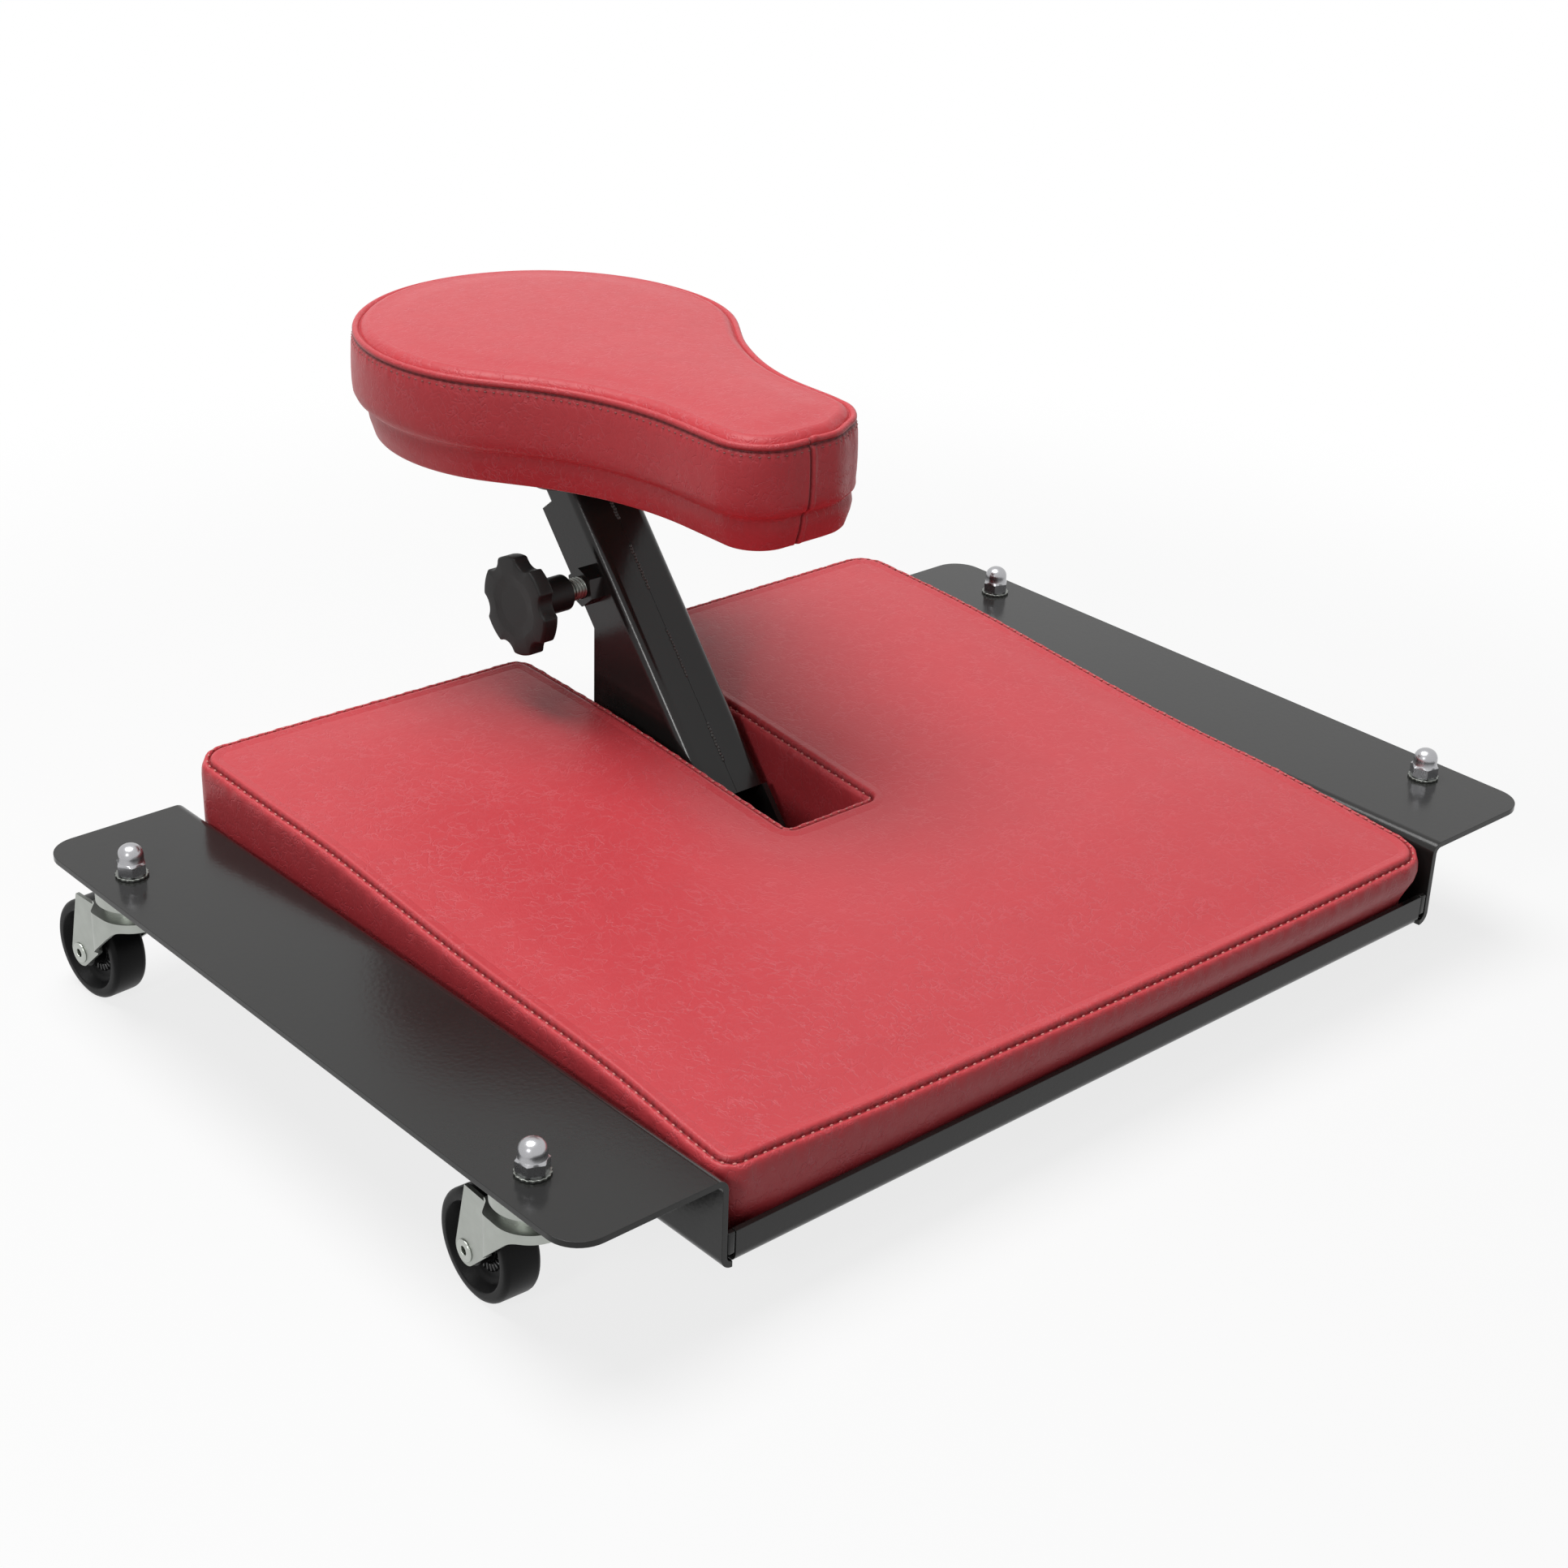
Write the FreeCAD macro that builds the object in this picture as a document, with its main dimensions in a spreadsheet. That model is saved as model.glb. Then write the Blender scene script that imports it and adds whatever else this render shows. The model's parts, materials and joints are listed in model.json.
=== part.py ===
import FreeCAD, Part
import math
import os
import types

import Sketcher
from FreeCAD import Vector

# Driving sizes in millimetres and degrees: name, value, what it measures
SIZES = [
    # Folded tray
    ("board_width", 624.0, "overall width over both wings"),
    ("board_depth", 420.0, "front to back of the tray"),
    ("sheet_gauge", 3.0, "thickness of the tray sheet"),
    ("sheet_bend", 3.0, "inside radius of the tray's bends"),
    ("pan_width", 465.0, "inside width between the side walls"),
    ("pan_depth", 45.0, "wing top down to the underside of the tray"),
    ("wing_corner", 16.0, "plan radius of the wings' outer corners"),
    ("lip_width", 456.0, "width of the upturned lips"),
    ("lip_height", 17.0, "height of the lips over the underside of the tray"),
    # Kneeling pad
    ("pad_side_gap", 4.5, "pad to side wall"),
    ("pad_end_gap", 1.0, "pad to lip"),
    ("pad_corner", 13.0, "plan radius of the pad's corners"),
    ("pad_front_rise", 2.0, "front edge of the pad over the wing top"),
    ("knee_front_y", 25.0, "front knee of the pad's slope, forward of the tray's middle"),
    ("knee_front_rise", 10.5, "front knee over the wing top"),
    ("knee_rear_y", 115.0, "rear knee of the slope, behind the tray's middle"),
    ("knee_rear_rise", 23.5, "rear knee over the wing top"),
    ("pad_rear_rise", 27.0, "rear edge of the pad over the wing top"),
    ("pad_blend", 250.0, "radius that blends the knees of the slope"),
    ("pad_edge", 4.0, "rounding of the pad's top edge"),
    ("pad_foot", 2.0, "rounding of the pad's lower edge, clear of the tray's bends"),
    ("slot_width", 53.0, "width of the slot for the post"),
    ("slot_length", 218.0, "slot from the pad's rear edge to its front end"),
    ("slot_corner", 8.0, "plan radius at the slot's front corners"),
    ("slot_mouth", 10.0, "plan radius at the slot's open end"),
    ("pad_board_gauge", 9.0, "thickness of the plywood under the pad"),
    ("cover_gauge", 3.0, "wadding and vinyl wrapped round a board's edge"),
    ("wrap_gap", 0.3, "room between a board and the cover round it"),
    ("pad_screw_x", 150.0, "pad screws, out from the middle"),
    ("pad_screw_y", 150.0, "pad screws, spacing front to back"),
    ("pad_screw_shank", 4.5, "diameter of a pad screw"),
    ("pad_screw_head", 9.0, "diameter of a pad screw's head"),
    ("pad_screw_head_height", 3.0, "height of a pad screw's head"),
    ("pad_screw_bite", 7.0, "depth of a pad screw in the board"),
    ("screw_hole_gap", 0.25, "radial room round a screw in sheet metal"),
    # Post
    ("post_angle", 39.8, "lean of the post to the rear, from upright"),
    ("post_width", 40.0, "outside width of the sleeve"),
    ("post_depth", 31.0, "outside depth of the sleeve, square to its lean"),
    ("plate_gauge", 3.0, "thickness of the post's plates"),
    ("plate_bend", 3.0, "inside radius of the plates' fold"),
    ("post_front", 60.7, "front of the post at wing height, behind the tray's middle"),
    ("sleeve_gap", 15.7, "sleeve's top to the seat plate, along the lean"),
    ("flange_lift", 37.0, "lower end of the front flanges over the tray floor"),
    ("gusset_rear", 151.0, "upright rear edge of the gussets behind the tray's middle"),
    ("weld_gap", 0.2, "seam between the two front flanges"),
    ("slide_gap", 0.25, "room on each side of the seat tube in the sleeve"),
    ("fit_gap", 0.05, "radial room of pins and studs in their holes"),
    # Clamp knob
    ("clamp_reach", 123.4, "clamp axis from wing height, along the lean"),
    ("clamp_nut_flats", 18.0, "clamp nut across flats"),
    ("clamp_nut_height", 9.0, "height of the clamp nut"),
    ("stud_diameter", 12.0, "diameter of the clamp stud"),
    ("stud_chamfer", 1.2, "chamfer at the stud's tip"),
    ("stud_hole_gap", 0.5, "radial room round the stud in the sleeve"),
    ("stud_show", 10.0, "stud that shows between nut and knob"),
    ("stud_grip", 14.0, "stud held in the knob"),
    ("stud_tip_gap", 0.1, "stud tip to seat tube"),
    ("knob_diameter", 52.0, "knob over its lobes"),
    ("knob_rim", 9.0, "thickness of the knob's rim"),
    ("knob_edge", 1.5, "rounding of the knob's face edge"),
    ("knob_dish_diameter", 30.0, "diameter of the dish in the knob's face"),
    ("knob_dish_depth", 0.8, "depth of the dish in the knob's face"),
    ("hub_diameter", 19.0, "diameter of the knob's hub"),
    ("hub_length", 23.5, "length of the knob's hub behind the rim"),
    ("hub_flare", 4.0, "radius where the hub flares into the rim"),
    ("knob_lobes", 6.0, "number of lobes"),
    ("scoop_radius", 9.0, "radius of the scoops between the lobes"),
    ("scoop_depth", 4.5, "depth of the scoops between the lobes"),
    ("scoop_phase", 44.0, "turn of the first scoop from the rear"),
    # Seat
    ("seat_rear", 318.0, "rear of the saddle behind the tray's middle"),
    ("seat_length", 315.5, "saddle from nose to rear"),
    ("saddle_radius", 99.5, "radius of the saddle's round rear"),
    ("saddle_neck", 150.0, "radius of the hollow sides"),
    ("flank_angle", 35.0, "slope of the flanks from the long axis"),
    ("nose_width", 87.0, "width of the saddle's nose"),
    ("nose_corner", 27.0, "plan radius of the nose's corners"),
    ("seat_height", 279.5, "seam of the saddle's top over the floor"),
    ("band_height", 54.0, "seam of the saddle's top down to its underside"),
    ("skirt_height", 18.0, "lower, drawn-in part of the saddle's side"),
    ("skirt_inset", 5.0, "step in at the top of the lower part"),
    ("skirt_taper", 5.0, "further taper of the lower part down to its board"),
    ("crown_height", 6.0, "rise of the saddle's top over its seam"),
    ("crown_inset", 20.0, "width of the crown's slope"),
    ("seat_board_gauge", 15.0, "thickness of the saddle's plywood"),
    ("seat_plate_gauge", 4.0, "thickness of the plate under the saddle"),
    ("seat_plate_width", 110.0, "width of the plate under the saddle"),
    ("seat_plate_length", 120.0, "length of the plate under the saddle"),
    ("seat_plate_corner", 12.0, "plan radius of the plate's corners"),
    ("seat_screw_x", 38.0, "seat screws, out from the middle"),
    ("seat_screw_y", 44.0, "seat screws, forward and back of the plate's middle"),
    ("seat_screw_shank", 6.0, "diameter of a seat screw"),
    ("seat_screw_head", 11.0, "diameter of a seat screw's head"),
    ("seat_screw_head_height", 4.0, "height of a seat screw's head"),
    ("seat_screw_bite", 11.0, "depth of a seat screw in the board"),
    ("tube_wall", 2.5, "wall of the seat tube"),
    ("tube_corner", 3.0, "outside corner radius of the seat tube"),
    ("tube_low", 10.0, "lower end of the seat tube from wing height, along the lean"),
    ("plug_flange", 2.0, "thickness of the plug outside the tube"),
    ("plug_length", 15.0, "length of the plug inside the tube"),
    # Casters
    ("caster_height", 73.5, "floor to the underside of the wings"),
    ("stem_from_edge", 20.2, "caster stem to the wing's outer edge"),
    ("stem_from_end", 51.6, "caster stem to the wing's front or rear end"),
    ("stem_diameter", 8.0, "diameter of the threaded stem"),
    ("stem_hole_gap", 0.3, "radial room round the stem in the wing"),
    ("stem_thread", 10.0, "stem over the washer"),
    ("acorn_flats", 13.0, "acorn nut across flats"),
    ("acorn_skirt", 7.0, "height of the acorn nut's hexagon"),
    ("acorn_height", 15.0, "height of the acorn nut"),
    ("acorn_crown", 12.0, "diameter of the acorn nut's dome"),
    ("acorn_bore", 11.0, "depth of the acorn nut's thread"),
    ("washer_diameter", 16.0, "diameter of the washers"),
    ("washer_gauge", 1.6, "thickness of the washers"),
    ("cup_diameter", 36.0, "diameter of the bearing cup"),
    ("cup_depth", 8.0, "depth of the bearing cup"),
    ("cup_gauge", 2.0, "thickness of the bearing cup"),
    ("cup_round", 3.0, "rounding of the bearing cup's top edge"),
    ("king_pin", 12.0, "diameter of the king pin"),
    ("king_head", 18.0, "diameter of the king pin's head"),
    ("king_head_height", 3.0, "height of the king pin's head"),
    ("ring_inner", 14.0, "inside diameter of the thrust ring"),
    ("ring_outer", 26.0, "outside diameter of the thrust ring"),
    ("fork_gauge", 2.0, "thickness of the fork's sheet"),
    ("crown_width", 39.0, "width of the fork's crown"),
    ("crown_round", 17.5, "plan radius of the crown's front"),
    ("crown_drop", 13.0, "wing underside to the top of the crown"),
    ("crown_rear", 17.0, "rear edge of the crown behind the stem"),
    ("shoulder_y", 15.0, "where the legs start to flare, behind the stem"),
    ("shoulder_round", 5.0, "plan radius of the flare"),
    ("dome_diameter", 29.0, "diameter of the raised dome on the crown"),
    ("dome_height", 6.0, "height of the raised dome"),
    ("dome_round", 2.5, "rounding of the dome's top edge"),
    ("skirt_drop", 17.5, "wing underside to the crown's lower edge"),
    ("skirt_knee", 10.0, "where the legs' front edge starts, forward of the stem"),
    ("skirt_blend", 9.0, "radius where the leg meets the crown's lower edge"),
    ("tab_rear", 31.5, "rear end of the legs' top edge behind the stem"),
    ("leg_tip", 7.0, "radius of the legs' tips round the axle"),
    ("leg_gap", 1.5, "wheel to leg"),
    ("wheel_trail", 32.0, "axle behind the stem"),
    ("wheel_diameter", 51.0, "diameter of the wheels"),
    ("wheel_width", 18.0, "width of the wheels"),
    ("wheel_edge", 2.5, "rounding of the tread's edges"),
    ("wheel_rim", 5.0, "thickness of the wheel's rim"),
    ("wheel_web", 5.0, "thickness of the wheel's web"),
    ("wheel_hub", 16.0, "diameter of the wheel's hub"),
    ("hub_side_gap", 0.5, "wheel hub to leg"),
    ("wheel_rib", 1.6, "thickness of the wheel's ribs"),
    ("rib_recess", 2.5, "ribs back from the wheel's face"),
    ("rib_count", 10.0, "number of ribs on each face"),
    ("axle_diameter", 6.0, "diameter of the hollow rivet"),
    ("axle_bore", 4.0, "bore of the hollow rivet"),
    ("rivet_head", 10.0, "diameter of the rivet's heads"),
    ("rivet_head_height", 1.2, "height of the rivet's heads"),
    ("yaw_left_front", -2.8, "turn of the left front caster"),
    ("yaw_right_front", 2.0, "turn of the right front caster"),
    ("yaw_left_rear", 4.2, "turn of the left rear caster"),
    ("yaw_right_rear", -3.0, "turn of the right rear caster"),
    ("trim_room", 12.0, "how far trimming cuts reach past the solid"),
]

LEFT = -1
RIGHT = 1
FRONT = -1
REAR = 1
# Sides of a square corner cut at 45 degrees move by this share of an offset
MITRE = math.tan(math.radians(22.5))
HEXAGON = 6
FULL_TURN = 360
# Edges this near to a level or a corner, in millimetres, count as on it
TOUCH = 0.01
# How a sketch numbers the points of a line or an arc, and its own origin
START, END, CENTRE = range(1, 4)
ORIGIN = (-1, 1)
UPRIGHT = (0, 0, 1)
LEAN_AXIS = (-1, 0, 0)
CASTER_CORNERS = {
    "left_front": (LEFT, FRONT),
    "right_front": (RIGHT, FRONT),
    "left_rear": (LEFT, REAR),
    "right_rear": (RIGHT, REAR),
}


class Size:
    """A number together with the sheet expression that gives it."""

    def __init__(self, number, text):
        self.number = number
        self.text = text

    def __add__(self, other):
        other = as_size(other)
        return Size(self.number + other.number, f"({self.text} + {other.text})")

    def __sub__(self, other):
        other = as_size(other)
        return Size(self.number - other.number, f"({self.text} - {other.text})")

    def __mul__(self, other):
        other = as_size(other)
        return Size(self.number * other.number, f"({self.text} * {other.text})")

    def __truediv__(self, other):
        other = as_size(other)
        return Size(self.number / other.number, f"({self.text} / {other.text})")

    def __neg__(self):
        return self * -1


def as_size(value):
    """Wrap a plain number, and leave a Size as it is."""
    if isinstance(value, Size):
        return value
    return Size(float(value), f"({float(value)!r})")


def sine(angle):
    return Size(math.sin(math.radians(angle.number)), f"sin({angle.text})")


def cosine(angle):
    return Size(math.cos(math.radians(angle.number)), f"cos({angle.text})")


def write_sheet(document):
    """Put the driving sizes into a sheet and hand them back by name."""
    sheet = document.addObject("Spreadsheet::Sheet", "Sizes")
    for row, (alias, number, note) in enumerate(SIZES, 1):
        sheet.set(f"A{row}", note)
        sheet.set(f"B{row}", str(number))
        sheet.setAlias(f"B{row}", alias)
    document.recompute()
    named = {alias: Size(number, f"Sizes.{alias}") for alias, number, _ in SIZES}
    return types.SimpleNamespace(**named)


doc = FreeCAD.newDocument("rolling_stool")
d = write_sheet(doc)
ZERO = as_size(0)
nodes = []

# Places worked out from the driving sizes. The overall length is centred on the origin.
BOARD_Y = (d.board_depth / 2 - d.seat_rear) / 2
WING_TOP = d.caster_height + d.sheet_gauge
PAN_BOTTOM = WING_TOP - d.pan_depth
PAN_FLOOR = PAN_BOTTOM + d.sheet_gauge
STEM_X = d.board_width / 2 - d.stem_from_edge
STEM_Y = d.board_depth / 2 - d.stem_from_end
PAD_HALF_WIDTH = d.pan_width / 2 - d.pad_side_gap
PAD_HALF_DEPTH = d.board_depth / 2 - d.sheet_gauge - d.pad_end_gap
SLOT_FRONT = PAD_HALF_DEPTH - d.slot_length
SEAT_UNDERSIDE = d.seat_height - d.band_height
SKIRT_FOOT = d.skirt_inset + d.skirt_taper
LEAN_SIN = sine(d.post_angle)
LEAN_COS = cosine(d.post_angle)
SLEEVE_REACH = (SEAT_UNDERSIDE - d.seat_plate_gauge - WING_TOP) / LEAN_COS - d.sleeve_gap
TUBE_WIDTH = d.post_width - d.plate_gauge * 2 - d.slide_gap * 2
TUBE_DEPTH = d.post_depth - d.plate_gauge * 2 - d.slide_gap * 2
AXLE_DROP = d.caster_height - d.wheel_diameter / 2


def text_of(value):
    return as_size(value).text


def place(x, y, z, axis=UPRIGHT, turn=0):
    """Placement expression: a turn about an axis, then a shift."""
    shift = f"vector({text_of(x)}; {text_of(y)}; {text_of(z)})"
    about = f"vector({axis[0]}; {axis[1]}; {axis[2]})"
    return f"placement({shift}; rotation({about}; {text_of(turn)}))"


BOARD_PLACE = place(0, BOARD_Y, 0)
POST_PLACE = place(0, BOARD_Y + d.post_front, WING_TOP, LEAN_AXIS, d.post_angle)


def to_post(y, z):
    """A point (y behind the tray's middle, z over the floor) as (depth, reach) in the leaning post."""
    back = y - d.post_front
    up = z - WING_TOP
    return back * LEAN_COS - up * LEAN_SIN, back * LEAN_SIN + up * LEAN_COS


def from_post(depth, reach):
    """A point of the leaning post as (y, z) in the part's own frame."""
    y = BOARD_Y + d.post_front + reach * LEAN_SIN + depth * LEAN_COS
    z = WING_TOP + reach * LEAN_COS - depth * LEAN_SIN
    return y, z


def new_body(label, where, is_node=True):
    body = doc.addObject("PartDesign::Body", label)
    body.Label = label
    body.setExpression("Placement", where)
    if is_node:
        nodes.append(body)
    return body


def group(label, bodies):
    """Several like pieces as one node of separate solids."""
    compound = doc.addObject("Part::Compound", label)
    compound.Label = label
    compound.Links = bodies
    nodes.append(compound)


def new_sketch(body, role, lift=ZERO):
    """A sketch on one of the body's own origin planes, lifted along that plane's normal."""
    plane = next(item for item in body.Origin.OriginFeatures if item.Role == role)
    sketch = body.newObject("Sketcher::SketchObject", "Sketch")
    sketch.AttachmentSupport = [(plane, "")]
    sketch.MapMode = "FlatFace"
    sketch.setExpression("AttachmentOffset.Base.z", lift.text)
    return sketch


def fix(sketch, kind, *where, value):
    """Add a constraint with a datum and bind the datum to its expression."""
    index = sketch.addConstraint(Sketcher.Constraint(kind, *where, value.number))
    sketch.setExpression(f"Constraints[{index}]", value.text)


def pin_point(sketch, geometry, position, x, y):
    fix(sketch, "DistanceX", *ORIGIN, geometry, position, value=as_size(x))
    fix(sketch, "DistanceY", *ORIGIN, geometry, position, value=as_size(y))


def circle(sketch, x, y, radius):
    x, y = as_size(x), as_size(y)
    shape = Part.Circle(Vector(x.number, y.number, 0), Vector(0, 0, 1), radius.number)
    index = sketch.addGeometry(shape, False)
    fix(sketch, "Radius", index, value=radius)
    pin_point(sketch, index, CENTRE, x, y)


class Corner:
    """A corner of an outline: sharp, rounded, or an arc about a given centre."""

    def __init__(self, x, y, radius=None, about=False):
        self.x = as_size(x)
        self.y = as_size(y)
        self.radius = radius
        self.about = about
        self.point = Vector(self.x.number, self.y.number, 0)

    def ends(self, before, after):
        """Where the line before the corner ends and the line after it starts."""
        if self.radius is None:
            return self.point, self.point
        if self.about:
            return self.touch(before.point, -1), self.touch(after.point, 1)
        into = (before.point - self.point).normalize()
        out = (after.point - self.point).normalize()
        half = into.getAngle(out) / 2
        run = self.radius.number / math.tan(half)
        return self.point + into * run, self.point + out * run

    def touch(self, seen_from, side):
        """Tangent point of the arc about this corner, for a line that starts outside it."""
        sight = self.point - seen_from
        spread = math.asin(self.radius.number / sight.Length)
        angle = math.atan2(sight.y, sight.x) + side * spread
        run = sight.Length * math.cos(spread)
        return seen_from + Vector(math.cos(angle), math.sin(angle), 0) * run

    def centre(self, start, end, before, after):
        if self.about:
            return self.point
        into = (before.point - self.point).normalize()
        out = (after.point - self.point).normalize()
        bisector = (into + out).normalize()
        half = (start - self.point).getAngle(bisector)
        return self.point + bisector * (self.radius.number / math.sin(half))


def outline(sketch, corners):
    """Close a line through the corners, anticlockwise, with an arc at each rounded one.

    Every corner is held by two distances from the sketch's origin, and every arc by its radius and by
    tangency to its two lines.
    """
    count = len(corners)
    around = [(corners[k - 1], corners[k], corners[(k + 1) % count]) for k in range(count)]
    ends = [here.ends(before, after) for before, here, after in around]
    lines = []
    for k in range(count):
        segment = Part.LineSegment(ends[k][1], ends[(k + 1) % count][0])
        lines.append(sketch.addGeometry(segment, False))
    for k, (before, here, after) in enumerate(around):
        line_in, line_out = lines[k - 1], lines[k]
        if here.radius is None:
            sketch.addConstraint(Sketcher.Constraint("Coincident", line_in, END, line_out, START))
            pin_point(sketch, line_out, START, here.x, here.y)
            continue
        start, end = ends[k]
        centre = here.centre(start, end, before, after)
        turn = (start - centre).cross(end - centre).z
        first, last = (start, end) if turn > 0 else (end, start)
        angle_from = math.atan2(first.y - centre.y, first.x - centre.x)
        angle_to = math.atan2(last.y - centre.y, last.x - centre.x)
        ring = Part.Circle(centre, Vector(0, 0, 1), here.radius.number)
        arc = sketch.addGeometry(Part.ArcOfCircle(ring, angle_from, angle_to), False)
        arc_start, arc_end = (START, END) if turn > 0 else (END, START)
        sketch.addConstraint(Sketcher.Constraint("Tangent", line_in, END, arc, arc_start))
        sketch.addConstraint(Sketcher.Constraint("Tangent", line_out, START, arc, arc_end))
        fix(sketch, "Radius", arc, value=here.radius)
        if here.about:
            pin_point(sketch, arc, CENTRE, here.x, here.y)
            continue
        corner_point = sketch.addGeometry(Part.Point(here.point), True)
        pin_point(sketch, corner_point, START, here.x, here.y)
        sketch.addConstraint(Sketcher.Constraint("PointOnObject", corner_point, START, line_in))
        sketch.addConstraint(Sketcher.Constraint("PointOnObject", corner_point, START, line_out))


def rectangle(sketch, x_low, x_high, y_low, y_high, radius=None):
    outline(sketch, [
        Corner(x_low, y_low, radius),
        Corner(x_high, y_low, radius),
        Corner(x_high, y_high, radius),
        Corner(x_low, y_high, radius),
    ])


def hexagon(sketch, flats):
    """A regular hexagon about the sketch's origin, with two corners on its horizontal axis."""
    reach = flats / (2 * math.cos(math.pi / HEXAGON))
    turns = [2 * math.pi * k / HEXAGON for k in range(HEXAGON)]
    outline(sketch, [Corner(reach * math.cos(turn), reach * math.sin(turn)) for turn in turns])


def saddle(sketch, inset):
    """The saddle's outline drawn in: round rear, straight flanks, hollow sides and blunt nose."""
    rear_radius = d.saddle_radius - inset
    neck_radius = d.saddle_neck + inset
    corner_radius = d.nose_corner - inset
    side = d.nose_width / 2 - inset
    front = d.seat_rear - d.seat_length + inset
    middle = d.seat_rear - d.saddle_radius
    slope = math.radians(d.flank_angle.number)
    normal = Vector(math.cos(slope), -math.sin(slope), 0)
    along = Vector(-math.sin(slope), -math.cos(slope), 0)
    centre = Vector(0, middle.number, 0)
    flank_top = centre + normal * rear_radius.number
    cross = flank_top + along * ((flank_top.x - side.number) / math.sin(slope))
    run = neck_radius.number * math.tan(slope / 2)
    flank_foot = cross - along * run
    neck_foot = cross - Vector(0, run, 0)
    neck_centre = neck_foot + Vector(neck_radius.number, 0, 0)
    nose_centre = Vector(side.number - corner_radius.number, (front + corner_radius).number, 0)
    up = Vector(0, 0, 1)

    def arc(middle_point, radius, angle_from, angle_to):
        ring = Part.Circle(middle_point, up, radius.number)
        index = sketch.addGeometry(Part.ArcOfCircle(ring, angle_from, angle_to), False)
        fix(sketch, "Radius", index, value=radius)
        return index

    def line(start, end):
        return sketch.addGeometry(Part.LineSegment(start, end), False)

    def meet(first, first_end, second, second_end):
        sketch.addConstraint(Sketcher.Constraint("Tangent", first, first_end, second, second_end))

    def other(point):
        return Vector(-point.x, point.y, 0)

    half_turn = math.pi
    quarter = math.pi / 2
    rear = arc(centre, rear_radius, -slope, half_turn + slope)
    pin_point(sketch, rear, CENTRE, 0, middle)
    nose_right = Vector(nose_centre.x, front.number, 0)
    nose_front = line(other(nose_right), nose_right)
    sketch.addConstraint(Sketcher.Constraint("Horizontal", nose_front))
    fix(sketch, "DistanceY", *ORIGIN, nose_front, START, value=front)
    side_foot = Vector(side.number, nose_centre.y, 0)

    right_flank = line(flank_foot, flank_top)
    right_neck = arc(neck_centre, neck_radius, half_turn - slope, half_turn)
    right_side = line(side_foot, neck_foot)
    right_nose = arc(nose_centre, corner_radius, -quarter, 0)
    fix(sketch, "Angle", right_flank, value=Size(quarter - slope, f"(90 - {d.flank_angle.text})"))
    meet(right_flank, END, rear, START)
    meet(right_flank, START, right_neck, START)
    meet(right_neck, END, right_side, END)
    meet(right_side, START, right_nose, END)
    meet(right_nose, START, nose_front, END)

    left_flank = line(other(flank_foot), other(flank_top))
    left_neck = arc(other(neck_centre), neck_radius, 0, slope)
    left_side = line(other(side_foot), other(neck_foot))
    left_nose = arc(other(nose_centre), corner_radius, half_turn, half_turn + quarter)
    fix(sketch, "Angle", left_flank, value=Size(quarter + slope, f"(90 + {d.flank_angle.text})"))
    meet(left_flank, END, rear, END)
    meet(left_flank, START, left_neck, END)
    meet(left_neck, START, left_side, END)
    meet(left_side, START, left_nose, START)
    meet(left_nose, END, nose_front, START)

    for upright, distance in ((right_side, side), (left_side, -side)):
        sketch.addConstraint(Sketcher.Constraint("Vertical", upright))
        fix(sketch, "DistanceX", *ORIGIN, upright, START, value=distance)


def pad(body, sketch, length, symmetric=False, reverse=False):
    feature = body.newObject("PartDesign::Pad", "Pad")
    feature.Profile = sketch
    feature.setExpression("Length", length.text)
    feature.SideType = "Symmetric" if symmetric else "One side"
    feature.Reversed = reverse
    return feature


def pocket(body, sketch, length=None, symmetric=False, reverse=False):
    """Cut a sketch into the body, right through where no length is given."""
    feature = body.newObject("PartDesign::Pocket", "Pocket")
    feature.Profile = sketch
    if length is None:
        feature.Type = "ThroughAll"
    else:
        feature.setExpression("Length", length.text)
    feature.SideType = "Symmetric" if symmetric else "One side"
    feature.Reversed = reverse
    return feature


def revolve(body, sketch, axis="V_Axis", kind="PartDesign::Revolution"):
    feature = body.newObject(kind, "Turned")
    feature.Profile = sketch
    feature.ReferenceAxis = (sketch, [axis])
    feature.Angle = FULL_TURN
    return feature


def loft(body, first, last):
    feature = body.newObject("PartDesign::AdditiveLoft", "Loft")
    feature.Profile = first
    feature.Sections = [last]
    return feature


def polar(body, feature, sketch, count):
    pattern = body.newObject("PartDesign::PolarPattern", "Ring")
    pattern.Originals = [feature]
    pattern.Axis = (sketch, ["N_Axis"])
    pattern.Angle = FULL_TURN
    pattern.setExpression("Occurrences", count.text)
    body.Tip = pattern
    return pattern


def mirror(body, features, role):
    feature = body.newObject("PartDesign::Mirrored", "Mirrored")
    feature.Originals = features
    plane = next(item for item in body.Origin.OriginFeatures if item.Role == role)
    feature.MirrorPlane = (plane, [""])
    body.Tip = feature
    return feature


def round_edges(body, feature, radius, wanted):
    """Fillet the edges of a feature that the test picks."""
    doc.recompute()
    names = [f"Edge{k}" for k, edge in enumerate(feature.Shape.Edges, 1) if wanted(edge)]
    fillet = body.newObject("PartDesign::Fillet", "Fillet")
    fillet.Base = (feature, names)
    fillet.setExpression("Radius", radius.text)
    return fillet


def stands_at(edge, x, y):
    """True for an upright edge at plus or minus x and y."""
    box = edge.BoundBox
    upright = box.XLength < TOUCH and box.YLength < TOUCH
    return upright and abs(abs(box.XMin) - x) < TOUCH and abs(abs(box.YMin) - y) < TOUCH


# Folded tray


def stem_places():
    return [(STEM_X * side, STEM_Y * end) for side, end in CASTER_CORNERS.values()]


def pad_screw_places():
    return [(d.pad_screw_x * side, d.pad_screw_y * row) for side in (LEFT, RIGHT) for row in (-1, 0, 1)]


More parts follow.
